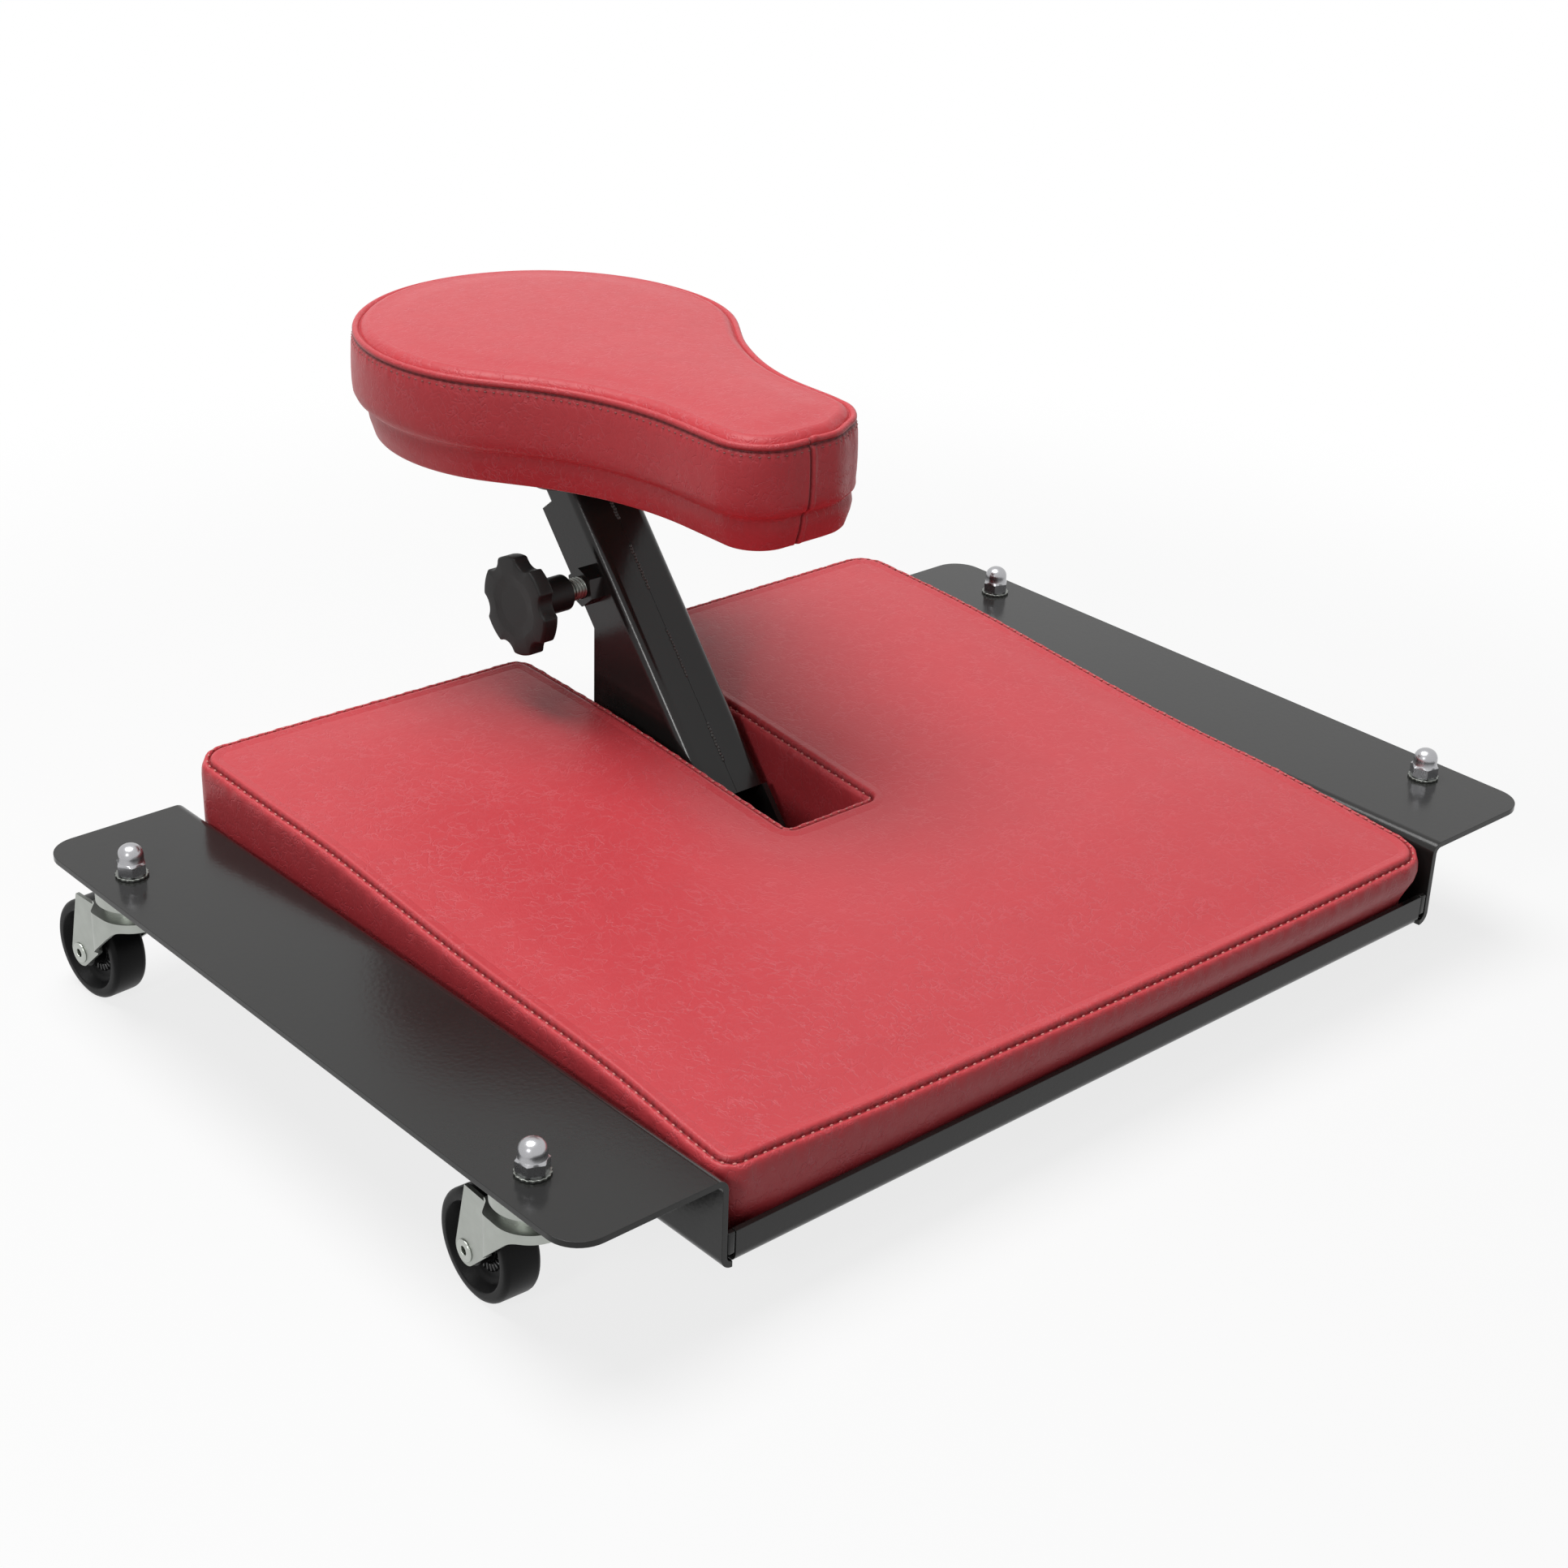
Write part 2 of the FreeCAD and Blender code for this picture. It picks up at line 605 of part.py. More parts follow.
def make_base_pan():
    """A sheet folded into two wings, two side walls and a floor, with a lip turned up at each end."""
    body = new_body("base_pan", BOARD_PLACE)
    half = d.board_width / 2
    wall = d.pan_width / 2
    skin = wall + d.sheet_gauge
    inner = d.sheet_bend
    outer = d.sheet_bend + d.sheet_gauge
    wing_under = WING_TOP - d.sheet_gauge
    section = new_sketch(body, "XZ_Plane")
    outline(section, [
        Corner(half, WING_TOP),
        Corner(wall, WING_TOP, outer),
        Corner(wall, PAN_FLOOR, inner),
        Corner(-wall, PAN_FLOOR, inner),
        Corner(-wall, WING_TOP, outer),
        Corner(-half, WING_TOP),
        Corner(-half, wing_under),
        Corner(-skin, wing_under, inner),
        Corner(-skin, PAN_BOTTOM, outer),
        Corner(skin, PAN_BOTTOM, outer),
        Corner(skin, wing_under, inner),
        Corner(half, wing_under),
    ])
    folded = pad(body, section, d.board_depth, symmetric=True)
    end = d.board_depth / 2
    round_edges(body, folded, d.wing_corner, lambda edge: stands_at(edge, half.number, end.number))

    # The floor stops short of the ends, where the lips turn up
    relief = new_sketch(body, "XY_Plane", PAN_FLOOR + d.sheet_bend)
    notch = d.pan_width / 2 - d.sheet_bend
    for way in (FRONT, REAR):
        near, far = (end - outer) * way, (end + d.trim_room) * way
        low, high = (near, far) if way == REAR else (far, near)
        rectangle(relief, -notch, notch, low, high)
    pocket(body, relief, d.sheet_gauge + d.sheet_bend * 2)

    lip = new_sketch(body, "YZ_Plane")
    lip_top = PAN_BOTTOM + d.lip_height
    root = end - outer - d.sheet_gauge
    outline(lip, [
        Corner(-end, lip_top),
        Corner(-end, PAN_BOTTOM, outer),
        Corner(-root, PAN_BOTTOM),
        Corner(-root, PAN_FLOOR),
        Corner(d.sheet_gauge - end, PAN_FLOOR, inner),
        Corner(d.sheet_gauge - end, lip_top),
    ])
    front_lip = pad(body, lip, d.lip_width, symmetric=True)
    mirror(body, [front_lip], "XZ_Plane")

    holes = new_sketch(body, "XY_Plane", WING_TOP)
    for x, y in stem_places():
        circle(holes, x, y, d.stem_diameter / 2 + d.stem_hole_gap)
    for x, y in pad_screw_places():
        circle(holes, x, y, d.pad_screw_shank / 2 + d.screw_hole_gap)
    pocket(body, holes)


# Kneeling pad


def slotted_outline(sketch, grow):
    """The pad's plan, a rectangle with a slot open to the rear, grown or drawn in all round."""
    half_width = PAD_HALF_WIDTH + grow
    half_depth = PAD_HALF_DEPTH + grow
    slot = d.slot_width / 2 - grow
    slot_end = SLOT_FRONT + grow
    corner = d.pad_corner + grow
    mouth = d.slot_mouth + grow
    inside = d.slot_corner - grow
    outline(sketch, [
        Corner(-half_width, -half_depth, corner),
        Corner(half_width, -half_depth, corner),
        Corner(half_width, half_depth, corner),
        Corner(slot, half_depth, mouth),
        Corner(slot, slot_end, inside),
        Corner(-slot, slot_end, inside),
        Corner(-slot, half_depth, mouth),
        Corner(-half_width, half_depth, corner),
    ])


def make_pad_board():
    body = new_body("pad_board", BOARD_PLACE)
    plan = new_sketch(body, "XY_Plane", PAN_FLOOR)
    slotted_outline(plan, -d.cover_gauge)
    pad(body, plan, d.pad_board_gauge)
    pilots = new_sketch(body, "XY_Plane", PAN_FLOOR)
    for x, y in pad_screw_places():
        circle(pilots, x, y, d.pad_screw_shank / 2 + d.fit_gap)
    pocket(body, pilots, d.pad_screw_bite + d.wrap_gap, reverse=True)


def make_kneeling_pad():
    """A wedge that falls from rear to front over two soft knees, hollowed below for its board."""
    body = new_body("kneeling_pad", BOARD_PLACE)
    plan = new_sketch(body, "XY_Plane", PAN_FLOOR)
    slotted_outline(plan, ZERO)
    full_height = d.pan_depth + d.pad_rear_rise + d.trim_room
    block = pad(body, plan, full_height)
    floor_level = PAN_FLOOR.number
    round_edges(body, block, d.pad_foot, lambda edge: edge.BoundBox.ZMax < floor_level + TOUCH)
    above = PAN_FLOOR + full_height + d.trim_room
    far = PAD_HALF_DEPTH + d.trim_room
    slope = new_sketch(body, "YZ_Plane")
    outline(slope, [
        Corner(-far, above),
        Corner(-far, WING_TOP + d.pad_front_rise),
        Corner(-d.knee_front_y, WING_TOP + d.knee_front_rise, d.pad_blend),
        Corner(d.knee_rear_y, WING_TOP + d.knee_rear_rise, d.pad_blend),
        Corner(far, WING_TOP + d.pad_rear_rise),
        Corner(far, above),
    ])
    wedge = pocket(body, slope, symmetric=True)
    wing_level = WING_TOP.number
    round_edges(body, wedge, d.pad_edge, lambda edge: edge.BoundBox.ZMin > wing_level)
    hollow = new_sketch(body, "XY_Plane", PAN_FLOOR)
    slotted_outline(hollow, d.wrap_gap - d.cover_gauge)
    pocket(body, hollow, d.pad_board_gauge, reverse=True)


def make_screw(label, where, head, head_height, shank, length):
    """A pan-head screw that points up from the underside of its head's seat."""
    body = new_body(label, where, is_node=False)
    half = new_sketch(body, "XZ_Plane")
    outline(half, [
        Corner(0, -head_height),
        Corner(head / 2 - head_height / 2, -head_height),
        Corner(head / 2, -head_height / 2),
        Corner(head / 2, 0),
        Corner(shank / 2, 0),
        Corner(shank / 2, length),
        Corner(0, length),
    ])
    revolve(body, half)
    return body


def make_pad_screws():
    screws = []
    for number, (x, y) in enumerate(pad_screw_places(), 1):
        where = place(x, BOARD_Y + y, PAN_BOTTOM)
        length = d.sheet_gauge + d.pad_screw_bite
        screws.append(make_screw(f"pad_screw_{number}", where, d.pad_screw_head,
                                 d.pad_screw_head_height, d.pad_screw_shank, length))
    group("pad_screws", screws)


# Post


def make_post_plate(label, side):
    """A folded plate: one side of the sleeve with its gusset, and half of the sleeve's front."""
    body = new_body(label, POST_PLACE)
    skin = d.post_width / 2
    inside = skin - d.plate_gauge
    seam = d.weld_gap / 2
    foot = (PAN_FLOOR + d.flange_lift - WING_TOP) / LEAN_COS
    corners = [
        Corner(skin * side, ZERO, d.plate_bend + d.plate_gauge),
        Corner(skin * side, d.post_depth),
        Corner(inside * side, d.post_depth),
        Corner(inside * side, d.plate_gauge, d.plate_bend),
        Corner(seam * side, d.plate_gauge),
        Corner(seam * side, ZERO),
    ]
    section = new_sketch(body, "XY_Plane", foot)
    outline(section, corners if side == RIGHT else corners[::-1])
    pad(body, section, SLEEVE_REACH - foot)

    heel = to_post(d.gusset_rear, PAN_FLOOR)
    toe = (ZERO, (PAN_FLOOR - WING_TOP) / LEAN_COS)
    gusset_top = (d.gusset_rear - d.post_front - d.post_depth * LEAN_COS) / LEAN_SIN
    web = new_sketch(body, "YZ_Plane", inside if side == RIGHT else -skin)
    outline(web, [
        Corner(*toe),
        Corner(*heel),
        Corner(d.post_depth, gusset_top),
        Corner(d.post_depth / 2, gusset_top),
        Corner(d.post_depth / 2, foot),
        Corner(ZERO, foot),
    ])
    pad(body, web, d.plate_gauge)
    return body


def make_post():
    left = make_post_plate("post_plate_left", LEFT)
    make_post_plate("post_plate_right", RIGHT)
    stud_hole = new_sketch(left, "YZ_Plane")
    circle(stud_hole, d.post_depth / 2, d.clamp_reach, d.stud_diameter / 2 + d.stud_hole_gap)
    pocket(left, stud_hole, symmetric=True)

    back = new_body("post_back_plate", POST_PLACE)
    foot = (PAN_FLOOR + d.flange_lift - WING_TOP) / LEAN_COS
    inside = d.post_width / 2 - d.plate_gauge
    strip = new_sketch(back, "XY_Plane", foot)
    rectangle(strip, -inside, inside, d.post_depth - d.plate_gauge, d.post_depth)
    pad(back, strip, SLEEVE_REACH - foot)


# Clamp knob


def clamp_place():
    """The clamp axis runs across the sleeve, through the middle of its side."""
    y, z = from_post(d.post_depth / 2, d.clamp_reach)
    return place(0, y, z)


def leaning_clamp_place():
    y, z = from_post(d.post_depth / 2, d.clamp_reach)
    return place(0, y, z, LEAN_AXIS, d.post_angle)


def make_clamp_nut():
    body = new_body("clamp_nut", leaning_clamp_place())
    face = new_sketch(body, "YZ_Plane", -d.post_width / 2)
    hexagon(face, d.clamp_nut_flats)
    pad(body, face, d.clamp_nut_height, reverse=True)
    bore = new_sketch(body, "YZ_Plane")
    circle(bore, 0, 0, d.stud_diameter / 2 + d.fit_gap)
    pocket(body, bore, symmetric=True)


def knob_back():
    """Where the knob's hub ends, on the clamp axis."""
    return -d.post_width / 2 - d.clamp_nut_height - d.stud_show


def make_knob_head():
    """A round knob with scoops between its lobes, a dished face and a flared hub."""
    body = new_body("knob_head", clamp_place())
    back = knob_back()
    rim_back = back - d.hub_length
    face_x = rim_back - d.knob_rim
    half = new_sketch(body, "XY_Plane")
    rim = d.knob_diameter / 2
    outline(half, [
        Corner(face_x + d.knob_dish_depth, 0),
        Corner(back, 0),
        Corner(back, d.hub_diameter / 2, d.knob_edge),
        Corner(rim_back, d.hub_diameter / 2, d.hub_flare),
        Corner(rim_back, rim, d.knob_edge),
        Corner(face_x, rim, d.knob_edge),
        Corner(face_x, d.knob_dish_diameter / 2),
        Corner(face_x + d.knob_dish_depth, d.knob_dish_diameter / 2 - d.knob_dish_depth),
    ])
    revolve(body, half, "H_Axis")
    scoop = new_sketch(body, "YZ_Plane", face_x)
    reach = rim + d.scoop_radius - d.scoop_depth
    circle(scoop, reach * cosine(d.scoop_phase), reach * sine(d.scoop_phase), d.scoop_radius)
    cut = pocket(body, scoop, d.knob_rim, reverse=True)
    polar(body, cut, scoop, d.knob_lobes)
    bore = new_sketch(body, "YZ_Plane", back)
    circle(bore, 0, 0, d.stud_diameter / 2 + d.fit_gap)
    pocket(body, bore, d.stud_grip)


def make_knob_stud():
    body = new_body("knob_stud", clamp_place())
    start = knob_back() - d.stud_grip
    tip = -TUBE_WIDTH / 2 - d.stud_tip_gap
    radius = d.stud_diameter / 2
    half = new_sketch(body, "XY_Plane")
    outline(half, [
        Corner(start, 0),
        Corner(tip, 0),
        Corner(tip, radius - d.stud_chamfer),
        Corner(tip - d.stud_chamfer, radius),
        Corner(start, radius),
    ])
    revolve(body, half, "H_Axis")


# Seat


def plate_middle():
    """Where the seat tube's axis meets the underside of the seat plate, behind the tray's middle."""
    up = SEAT_UNDERSIDE - d.seat_plate_gauge - WING_TOP
    depth = d.post_depth / 2
    reach = (up + depth * LEAN_SIN) / LEAN_COS
    return d.post_front + reach * LEAN_SIN + depth * LEAN_COS


def seat_screw_places():
    middle = plate_middle()
    return [(d.seat_screw_x * side, middle + d.seat_screw_y * end) for side, end in CASTER_CORNERS.values()]


def make_seat_tube():
    """A rectangular tube, cut level at its top to meet the seat plate."""
    body = new_body("seat_tube", POST_PLACE)
    low = d.post_depth / 2 - TUBE_DEPTH / 2
    high = d.post_depth / 2 + TUBE_DEPTH / 2
    half = TUBE_WIDTH / 2
    wall = d.tube_wall
    top = SEAT_UNDERSIDE - d.seat_plate_gauge - WING_TOP
    far = d.trim_room
    longest = (top + (d.post_depth + far * 2) * LEAN_SIN) / LEAN_COS
    section = new_sketch(body, "XY_Plane", d.tube_low)
    rectangle(section, -half, half, low, high, d.tube_corner)
    pad(body, section, longest - d.tube_low)
    bore = new_sketch(body, "XY_Plane", d.tube_low)
    rectangle(bore, wall - half, half - wall, low + wall, high - wall, d.tube_corner / 2)
    pocket(body, bore, longest - d.tube_low, reverse=True)
    level = new_sketch(body, "YZ_Plane")
    outline(level, [
        Corner(-far, (top - far * LEAN_SIN) / LEAN_COS),
        Corner(d.post_depth + far, (top + (d.post_depth + far) * LEAN_SIN) / LEAN_COS),
        Corner(d.post_depth + far, longest + far),
        Corner(-far, longest + far),
    ])
    pocket(body, level, symmetric=True)


def make_tube_plug():
    body = new_body("tube_plug", POST_PLACE)
    middle = d.post_depth / 2
    flange = new_sketch(body, "XY_Plane", d.tube_low - d.plug_flange)
    rectangle(flange, -TUBE_WIDTH / 2, TUBE_WIDTH / 2,
              middle - TUBE_DEPTH / 2, middle + TUBE_DEPTH / 2, d.tube_corner)
    pad(body, flange, d.plug_flange)
    inset = d.tube_wall + d.fit_gap
    half = TUBE_WIDTH / 2 - inset
    deep = TUBE_DEPTH / 2 - inset
    stem = new_sketch(body, "XY_Plane", d.tube_low)
    rectangle(stem, -half, half, middle - deep, middle + deep, d.tube_corner / 2)
    pad(body, stem, d.plug_length)


def make_seat_plate():
    body = new_body("seat_plate", BOARD_PLACE)
    middle = plate_middle()
    half_width = d.seat_plate_width / 2
    half_length = d.seat_plate_length / 2
    plan = new_sketch(body, "XY_Plane", SEAT_UNDERSIDE - d.seat_plate_gauge)
    front, rear = middle - half_length, middle + half_length
    rectangle(plan, -half_width, half_width, front, rear, d.seat_plate_corner)
    for x, y in seat_screw_places():
        circle(plan, x, y, d.seat_screw_shank / 2 + d.screw_hole_gap)
    pad(body, plan, d.seat_plate_gauge)


def make_seat_board():
    body = new_body("seat_board", BOARD_PLACE)
    plan = new_sketch(body, "XY_Plane", SEAT_UNDERSIDE)
    saddle(plan, SKIRT_FOOT + d.cover_gauge)
    pad(body, plan, d.seat_board_gauge)
    pilots = new_sketch(body, "XY_Plane", SEAT_UNDERSIDE)
    for x, y in seat_screw_places():
        circle(pilots, x, y, d.seat_screw_shank / 2 + d.fit_gap)
    pocket(body, pilots, d.seat_screw_bite + d.wrap_gap, reverse=True)


def make_seat_cushion():
    """A saddle with a crowned top, a straight band and a lower part drawn in round its board."""
    body = new_body("seat_cushion", BOARD_PLACE)
    step = SEAT_UNDERSIDE + d.skirt_height
    hem = new_sketch(body, "XY_Plane", SEAT_UNDERSIDE)
    saddle(hem, SKIRT_FOOT)
    tuck = new_sketch(body, "XY_Plane", step)
    saddle(tuck, d.skirt_inset)
    loft(body, hem, tuck)
    band = new_sketch(body, "XY_Plane", step)
    saddle(band, ZERO)
    pad(body, band, d.band_height - d.skirt_height)
    rim = new_sketch(body, "XY_Plane", d.seat_height)
    saddle(rim, ZERO)
    brow = new_sketch(body, "XY_Plane", d.seat_height + d.crown_height)
    saddle(brow, d.crown_inset)
    loft(body, rim, brow)
    hollow = new_sketch(body, "XY_Plane", SEAT_UNDERSIDE)
    saddle(hollow, SKIRT_FOOT + d.cover_gauge - d.wrap_gap)
    pocket(body, hollow, d.seat_board_gauge, reverse=True)


def make_seat_screws():
    screws = []
    for number, (x, y) in enumerate(seat_screw_places(), 1):
        where = place(x, BOARD_Y + y, SEAT_UNDERSIDE - d.seat_plate_gauge)
        length = d.seat_plate_gauge + d.seat_screw_bite
        screws.append(make_screw(f"seat_screw_{number}", where, d.seat_screw_head,
                                 d.seat_screw_head_height, d.seat_screw_shank, length))
    group("seat_screws", screws)


# Casters. Each stands with its stem at the origin, level with the wing's underside, and trails to the rear.


def make_acorn_nut(label, x, y):
    """A domed hexagon nut with a blind bore."""
    body = new_body(label, place(x, BOARD_Y + y, WING_TOP + d.washer_gauge), is_node=False)
    base = new_sketch(body, "XY_Plane")
    hexagon(base, d.acorn_flats)
    pad(body, base, d.acorn_skirt)
    crown = d.acorn_crown / 2
    half = new_sketch(body, "XZ_Plane")
    outline(half, [
        Corner(0, d.acorn_skirt / 2),
        Corner(crown, d.acorn_skirt / 2),
        Corner(crown, d.acorn_height, crown - d.fit_gap),
        Corner(0, d.acorn_height),
    ])
    revolve(body, half)
    bore = new_sketch(body, "XY_Plane")
    circle(bore, 0, 0, d.stem_diameter / 2 + d.fit_gap)
    pocket(body, bore, d.acorn_bore, reverse=True)
    return body


def make_stem_hardware():
    nuts = []
    for number, (x, y) in enumerate(stem_places(), 1):
        nuts.append(make_acorn_nut(f"acorn_nut_{number}", x, y))
    group("acorn_nuts", nuts)
    washers = new_body("nut_washers", BOARD_PLACE)
    rings = new_sketch(washers, "XY_Plane", WING_TOP)
    for x, y in stem_places():
        circle(rings, x, y, d.washer_diameter / 2)
        circle(rings, x, y, d.stem_diameter / 2 + d.stem_hole_gap)
    pad(washers, rings, d.washer_gauge)


def make_stem(label, where):
    """A threaded stem with a bearing cup below the wing and a king pin headed under the fork's dome."""
    body = new_body(label, where)
    stem = d.stem_diameter / 2
    cup = d.cup_diameter / 2
    pin = d.king_pin / 2
    top = d.sheet_gauge + d.washer_gauge + d.stem_thread
    seat = -(d.crown_drop - d.dome_height + d.fork_gauge + d.fit_gap)
    half = new_sketch(body, "XZ_Plane")
    outline(half, [
        Corner(0, seat - d.king_head_height),
        Corner(d.king_head / 2, seat - d.king_head_height),
        Corner(d.king_head / 2, seat),
        Corner(pin, seat),
        Corner(pin, -d.cup_gauge),
        Corner(cup - d.cup_gauge, -d.cup_gauge),
        Corner(cup - d.cup_gauge, -d.cup_depth),
        Corner(cup, -d.cup_depth),
        Corner(cup, 0, d.cup_round),
        Corner(stem, 0),
        Corner(stem, top),
        Corner(0, top),
    ])
    revolve(body, half)


def make_thrust_ring(label, where):
    body = new_body(label, where)
    top = -d.cup_gauge - d.fit_gap
    bottom = d.dome_height - d.crown_drop + d.fit_gap
    plan = new_sketch(body, "XY_Plane", bottom)
    circle(plan, 0, 0, d.ring_outer / 2)
    circle(plan, 0, 0, d.ring_inner / 2)
    pad(body, plan, top - bottom)


def fork_plan(sketch, inset):
    """The fork from above: a round crown whose sides step in to two parallel legs."""
    leg = d.wheel_width / 2 + d.leg_gap + d.fork_gauge - inset
    crown = d.crown_width / 2 - inset
    shoulder = d.shoulder_y - inset * MITRE
    flare = shoulder - (d.crown_width / 2 - d.wheel_width / 2 - d.leg_gap - d.fork_gauge)
    rear = d.wheel_trail + d.leg_tip + d.trim_room
    bend = d.shoulder_round
    front = d.crown_round - inset
    outline(sketch, [
        Corner(-crown, -crown, front),
        Corner(crown, -crown, front),
        Corner(crown, flare, bend),
        Corner(leg, shoulder, bend),
        Corner(leg, rear),
        Corner(-leg, rear),
        Corner(-leg, shoulder, bend),
        Corner(-crown, flare, bend),
    ])


def make_fork(label, where):
    """A pressed fork: a cap in plan, trimmed in side view to its legs, with a dome for the bearing."""
    body = new_body(label, where)
    roof = -d.crown_drop
    lowest = -(AXLE_DROP + d.leg_tip + d.trim_room)
    cap = new_sketch(body, "XY_Plane", lowest)
    fork_plan(cap, ZERO)
    pad(body, cap, roof - lowest)
    hollow = new_sketch(body, "XY_Plane", lowest)
    fork_plan(hollow, d.fork_gauge)
    pocket(body, hollow, roof - d.fork_gauge - lowest, reverse=True)

    tab = roof - d.fork_gauge
    front = -d.crown_width / 2 - d.trim_room
    rear = d.wheel_trail + d.leg_tip + d.trim_room * 2
    trim = new_sketch(body, "YZ_Plane")
    rectangle(trim, front - d.trim_room, rear, lowest - d.trim_room, roof + d.trim_room * 2)
    outline(trim, [
        Corner(front, -d.skirt_drop),
        Corner(-d.skirt_knee, -d.skirt_drop, d.skirt_blend),
        Corner(d.wheel_trail, -AXLE_DROP, d.leg_tip, about=True),
        Corner(d.tab_rear, tab),
        Corner(d.crown_rear, tab),
        Corner(d.crown_rear, roof + d.trim_room),
        Corner(front, roof + d.trim_room),
    ])
    pocket(body, trim, symmetric=True)

    dome = d.dome_diameter / 2
    raised = new_sketch(body, "XZ_Plane")
    outline(raised, [
        Corner(0, roof - d.fork_gauge),
        Corner(dome, roof - d.fork_gauge),
        Corner(dome, roof + d.dome_height, d.dome_round),
        Corner(0, roof + d.dome_height),
    ])
    revolve(body, raised)
    under = roof + d.dome_height - d.fork_gauge
    cavity = new_sketch(body, "XZ_Plane")
    outline(cavity, [
        Corner(0, roof - d.fork_gauge * 2),
        Corner(dome - d.fork_gauge, roof - d.fork_gauge * 2),
        Corner(dome - d.fork_gauge, under),
        Corner(0, under),
    ])
    revolve(body, cavity, kind="PartDesign::Groove")
    pin_hole = new_sketch(body, "XY_Plane")
    circle(pin_hole, 0, 0, d.king_pin / 2 + d.fit_gap)
    pocket(body, pin_hole)
    axle_hole = new_sketch(body, "YZ_Plane")
    circle(axle_hole, d.wheel_trail, -AXLE_DROP, d.axle_diameter / 2 + d.fit_gap)
    pocket(body, axle_hole, symmetric=True)


def make_axle(label, where):
    """A hollow rivet with a sloping head on each leg."""
    body = new_body(label, where)
    leg = d.wheel_width / 2 + d.leg_gap + d.fork_gauge
    end = leg + d.rivet_head_height
    head = d.rivet_head / 2
    shank = d.axle_diameter / 2
    bore = d.axle_bore / 2
    half = new_sketch(body, "XY_Plane")
    outline(half, [
        Corner(-end, bore),
        Corner(end, bore),
        Corner(end, shank),
        Corner(leg, head),
        Corner(leg, shank),
        Corner(-leg, shank),
        Corner(-leg, head),
        Corner(-end, shank),
    ])
    revolve(body, half, "H_Axis")


def make_wheel(label, where):
    """A moulded wheel: rim, web and hub turned in one, with a ring of ribs on both faces."""
    body = new_body(label, where)
    face = d.wheel_width / 2
    hub_face = face + d.leg_gap - d.hub_side_gap
    tread = d.wheel_diameter / 2
    rim = tread - d.wheel_rim
    hub = d.wheel_hub / 2
    web = d.wheel_web / 2
    bore = d.axle_diameter / 2 + d.fit_gap
    half = new_sketch(body, "XY_Plane")
    outline(half, [
        Corner(-hub_face, bore),
        Corner(hub_face, bore),
        Corner(hub_face, hub),
        Corner(web, hub),
        Corner(web, rim),
        Corner(face, rim),
        Corner(face, tread, d.wheel_edge),
        Corner(-face, tread, d.wheel_edge),
        Corner(-face, rim),
        Corner(-web, rim),
        Corner(-web, hub),
        Corner(-hub_face, hub),
    ])
    revolve(body, half, "H_Axis")
    rib = new_sketch(body, "YZ_Plane")
    rectangle(rib, hub - d.wheel_rib, rim + d.wheel_rib, -d.wheel_rib / 2, d.wheel_rib / 2)
    spoke = pad(body, rib, d.wheel_width - d.rib_recess * 2, symmetric=True)
    polar(body, spoke, rib, d.rib_count)


def make_caster(corner, side, end):
    """One caster: its stem stays with the tray, its fork swivels and its wheel turns in the fork."""
    yaw = getattr(d, f"yaw_{corner}")
    stem_x, stem_y = STEM_X * side, BOARD_Y + STEM_Y * end
    where = place(stem_x, stem_y, d.caster_height, UPRIGHT, yaw)
    axle_x = stem_x - d.wheel_trail * sine(yaw)
    axle_y = stem_y + d.wheel_trail * cosine(yaw)
    axle_place = place(axle_x, axle_y, d.wheel_diameter / 2, UPRIGHT, yaw)
    make_stem(f"{corner}_stem", where)
    make_thrust_ring(f"{corner}_thrust_ring", where)
    make_fork(f"{corner}_fork", where)
    make_axle(f"{corner}_axle", axle_place)
    make_wheel(f"{corner}_wheel", axle_place)


def check_and_export():
    """Write each node's solids once every object has been rebuilt without a fault."""
    doc.recompute()
    for item in doc.Objects:
        if "Invalid" in item.State or "Error" in item.State:
            raise RuntimeError(f"{item.Label} could not be rebuilt: {item.State}")
    for node in nodes:
        if node.Shape.isNull() or not node.Shape.isValid() or not node.Shape.Solids:
            raise RuntimeError(f"{node.Label} has no valid solid")
    os.makedirs("parts", exist_ok=True)
    for node in nodes:
        node.Shape.exportStep(f"parts/{node.Label}.step")


make_base_pan()
make_pad_board()
make_kneeling_pad()
make_pad_screws()
make_post()
make_clamp_nut()
make_knob_head()
make_knob_stud()
make_seat_tube()
make_tube_plug()
make_seat_plate()
make_seat_board()
make_seat_cushion()
make_seat_screws()
make_stem_hardware()
for corner_name, (corner_side, corner_end) in CASTER_CORNERS.items():
    make_caster(corner_name, corner_side, corner_end)
check_and_export()
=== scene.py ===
import json
import math

import bmesh
import bpy
import numpy as np
from bpy.props import FloatProperty, FloatVectorProperty, PointerProperty
from mathutils import Matrix, Vector


